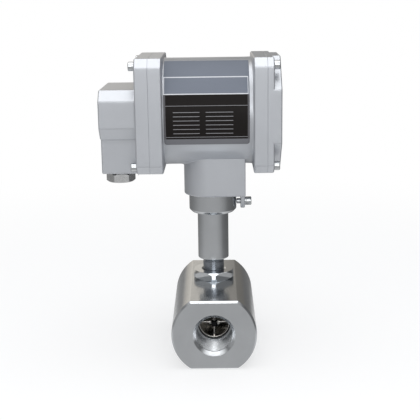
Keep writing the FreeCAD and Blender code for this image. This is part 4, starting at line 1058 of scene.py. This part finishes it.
def make_floor():
    """A wide disc that is white in plain light, keeps the shadow, and fades into the white."""
    count = 96
    radii = (0.3, 0.8, 2.0, 5.0)
    level = -0.0001
    verts = [(0, 0, level)]
    for radius in radii:
        for step in range(count):
            angle = 2 * math.pi * step / count
            verts.append((radius * math.cos(angle), radius * math.sin(angle), level))
    faces = [(0, 1 + i, 1 + (i + 1) % count) for i in range(count)]
    for ring in range(len(radii) - 1):
        base = 1 + ring * count
        for i in range(count):
            j = (i + 1) % count
            faces.append((base + i, base + count + i, base + count + j, base + j))
    mesh = bpy.data.meshes.new("floor")
    mesh.from_pydata(verts, [], faces)
    floor = add_object("floor", mesh)
    material = bpy.data.materials.new("floor_white")
    tree, surface = cleared(material, "ShaderNodeOutputMaterial")
    paint = shader(tree, "ShaderNodeBsdfDiffuse", Color=(0.52, 0.52, 0.52, 1))
    near = joined(tree, "ShaderNodeAddShader", paint, shader(tree, "ShaderNodeEmission", Strength=GLOW))
    white = shader(tree, "ShaderNodeEmission", Strength=1.0)
    place = tree.nodes.new("ShaderNodeTexCoord")
    length = tree.nodes.new("ShaderNodeVectorMath")
    length.operation = "LENGTH"
    fade = tree.nodes.new("ShaderNodeMapRange")
    fade.interpolation_type = "SMOOTHSTEP"
    fade.inputs["From Min"].default_value = 0.12
    fade.inputs["From Max"].default_value = 0.5
    tree.links.new(place.outputs["Object"], length.inputs[0])
    tree.links.new(length.outputs["Value"], fade.inputs["Value"])
    seen = joined(tree, "ShaderNodeMixShader", fade.outputs["Result"], near, white)
    plain = shader(tree, "ShaderNodeBsdfDiffuse", Color=(0.8, 0.8, 0.8, 1))
    tree.links.new(joined(tree, "ShaderNodeMixShader", light_path_share(tree), plain, seen), surface)
    mesh.materials.append(material)


def soft_lamp(name, at, size, power, aim=(0, 0, 0.08), mirrored=True):
    data = bpy.data.lights.new(name, "AREA")
    data.shape = "RECTANGLE"
    data.size, data.size_y = size
    data.energy = power
    lamp = add_object(name, data)
    lamp.location = at
    lamp.rotation_mode = "QUATERNION"
    lamp.rotation_quaternion = (Vector(aim) - Vector(at)).to_track_quat("-Z", "Y")
    lamp.visible_glossy = mirrored


# Levels that shiny metal mirrors, by azimuth from the front towards the right and by elevation
AZIMUTHS = (-180, -165, -140, -105, -66, -30, 0, 30, 58, 76, 110, 150, 174, 180)
SURROUND = {
    -60: (0.60, 0.60, 0.70, 0.90, 1.00, 0.56, 0.56, 0.56, 1.00, 1.00, 0.90, 0.70, 0.60, 0.60),
    -35: (0.34, 0.30, 0.34, 0.44, 0.56, 0.55, 0.54, 0.54, 0.44, 0.25, 0.20, 0.18, 0.24, 0.30),
    -12: (0.28, 0.22, 0.20, 0.26, 0.43, 0.49, 0.50, 0.48, 0.33, 0.21, 0.15, 0.14, 0.17, 0.20),
    4: (0.74, 0.84, 0.66, 0.38, 0.43, 0.49, 0.50, 0.47, 0.30, 0.21, 0.16, 0.19, 0.26, 0.36),
    17: (0.74, 0.84, 0.66, 0.38, 0.40, 0.50, 0.60, 0.50, 0.28, 0.20, 0.16, 0.19, 0.26, 0.36),
    27: (0.35, 0.20, 0.19, 0.16, 0.21, 0.55, 0.80, 0.55, 0.18, 0.12, 0.09, 0.10, 0.12, 0.30),
    42: (0.22, 0.20, 0.25, 0.60, 0.90, 0.60, 0.80, 0.60, 0.80, 0.70, 0.10, 0.11, 0.22, 0.30),
    50: (0.70, 0.48, 0.90, 1.70, 1.70, 0.90, 0.90, 0.90, 1.70, 1.70, 1.70, 0.80, 0.50, 0.70),
    63: (1.00, 0.60, 0.90, 1.70, 1.70, 1.30, 1.10, 1.30, 1.70, 1.70, 1.70, 0.80, 0.60, 1.00),
}
TENT_REACH, TENT_EYE = 1.3, 0.1
TENT_FLOOR_RADII = (0.0, 0.05, 0.1, 0.14, 0.2, 0.3, 0.42, 0.6, 0.85, 1.3)
TENT_ELEVATIONS = (0, 4, 10, 17, 22, 27, 35, 42, 46, 50, 57, 63)


def warmth(azimuth, elevation):
    """How far the tent's grey turns to sand, behind the object and above the floor."""
    if elevation <= -5 or 0 <= azimuth <= 150:
        return 0.0
    return min(1.0, max(0.0, (abs(azimuth) - 95) / 45))


def make_surround():
    """A grey tent that only mirrors see, as a studio sets round shiny metal."""
    elevations = sorted(SURROUND)
    azimuths = np.linspace(-180, 180, 145)
    table = np.array([np.interp(azimuths, AZIMUTHS, SURROUND[e]) for e in elevations])
    stations = []
    for radius in TENT_FLOOR_RADII:
        stations.append((radius, 0.0005, -math.degrees(math.atan2(TENT_EYE, max(radius, 0.06)))))
    for e in TENT_ELEVATIONS:
        rise = math.radians(e)
        stations.append((TENT_REACH * math.cos(rise), TENT_EYE + TENT_REACH * math.sin(rise), e))
    points, levels = [], []
    for radius, height, elevation in stations:
        for k, azimuth in enumerate(azimuths):
            turn = math.radians(azimuth)
            points.append((radius * math.sin(turn), -radius * math.cos(turn), height))
            level = np.interp(elevation, elevations, table[:, k])
            warm = warmth(azimuth, elevation)
            levels += [level, level * (1 - 0.06 * warm), level * (1 - 0.15 * warm), 1.0]
    mesh = bpy.data.meshes.new("surround")
    mesh.from_pydata(points, [], grid(len(azimuths), len(stations)))
    mesh.attributes.new("level", "FLOAT_COLOR", "POINT").data.foreach_set("color", levels)
    piece = add_object("surround", mesh)
    material = bpy.data.materials.new("surround_grey")
    tree, surface = cleared(material, "ShaderNodeOutputMaterial")
    source = tree.nodes.new("ShaderNodeAttribute")
    source.attribute_name = "level"
    tree.links.new(joined(tree, "ShaderNodeEmission", source.outputs["Color"]), surface)
    mesh.materials.append(material)
    piece.visible_camera = False
    piece.visible_diffuse = False
    piece.visible_transmission = False
    piece.visible_shadow = False


make_world()
make_floor()
make_surround()
soft_lamp("top_lamp", (0.0, -0.03, 0.95), (0.8, 0.8), 2.6)
soft_lamp("left_lamp", (-0.55, -0.85, 0.14), (0.7, 0.24), 0.9, mirrored=False)
soft_lamp("front_lamp", (0.02, -1.15, 0.36), (0.7, 0.25), 1.7, aim=(0, 0, 0.05))
soft_lamp("low_lamp", (0.0, -0.26, 0.05), (0.3, 0.05), 0.13, aim=(0, 0, 0.12), mirrored=False)
soft_lamp("high_front_lamp", (0.0, -0.85, 0.8), (0.3, 0.3), 0.5, aim=(0, 0, 0.05))

bpy.context.scene.view_settings.view_transform = "Standard"
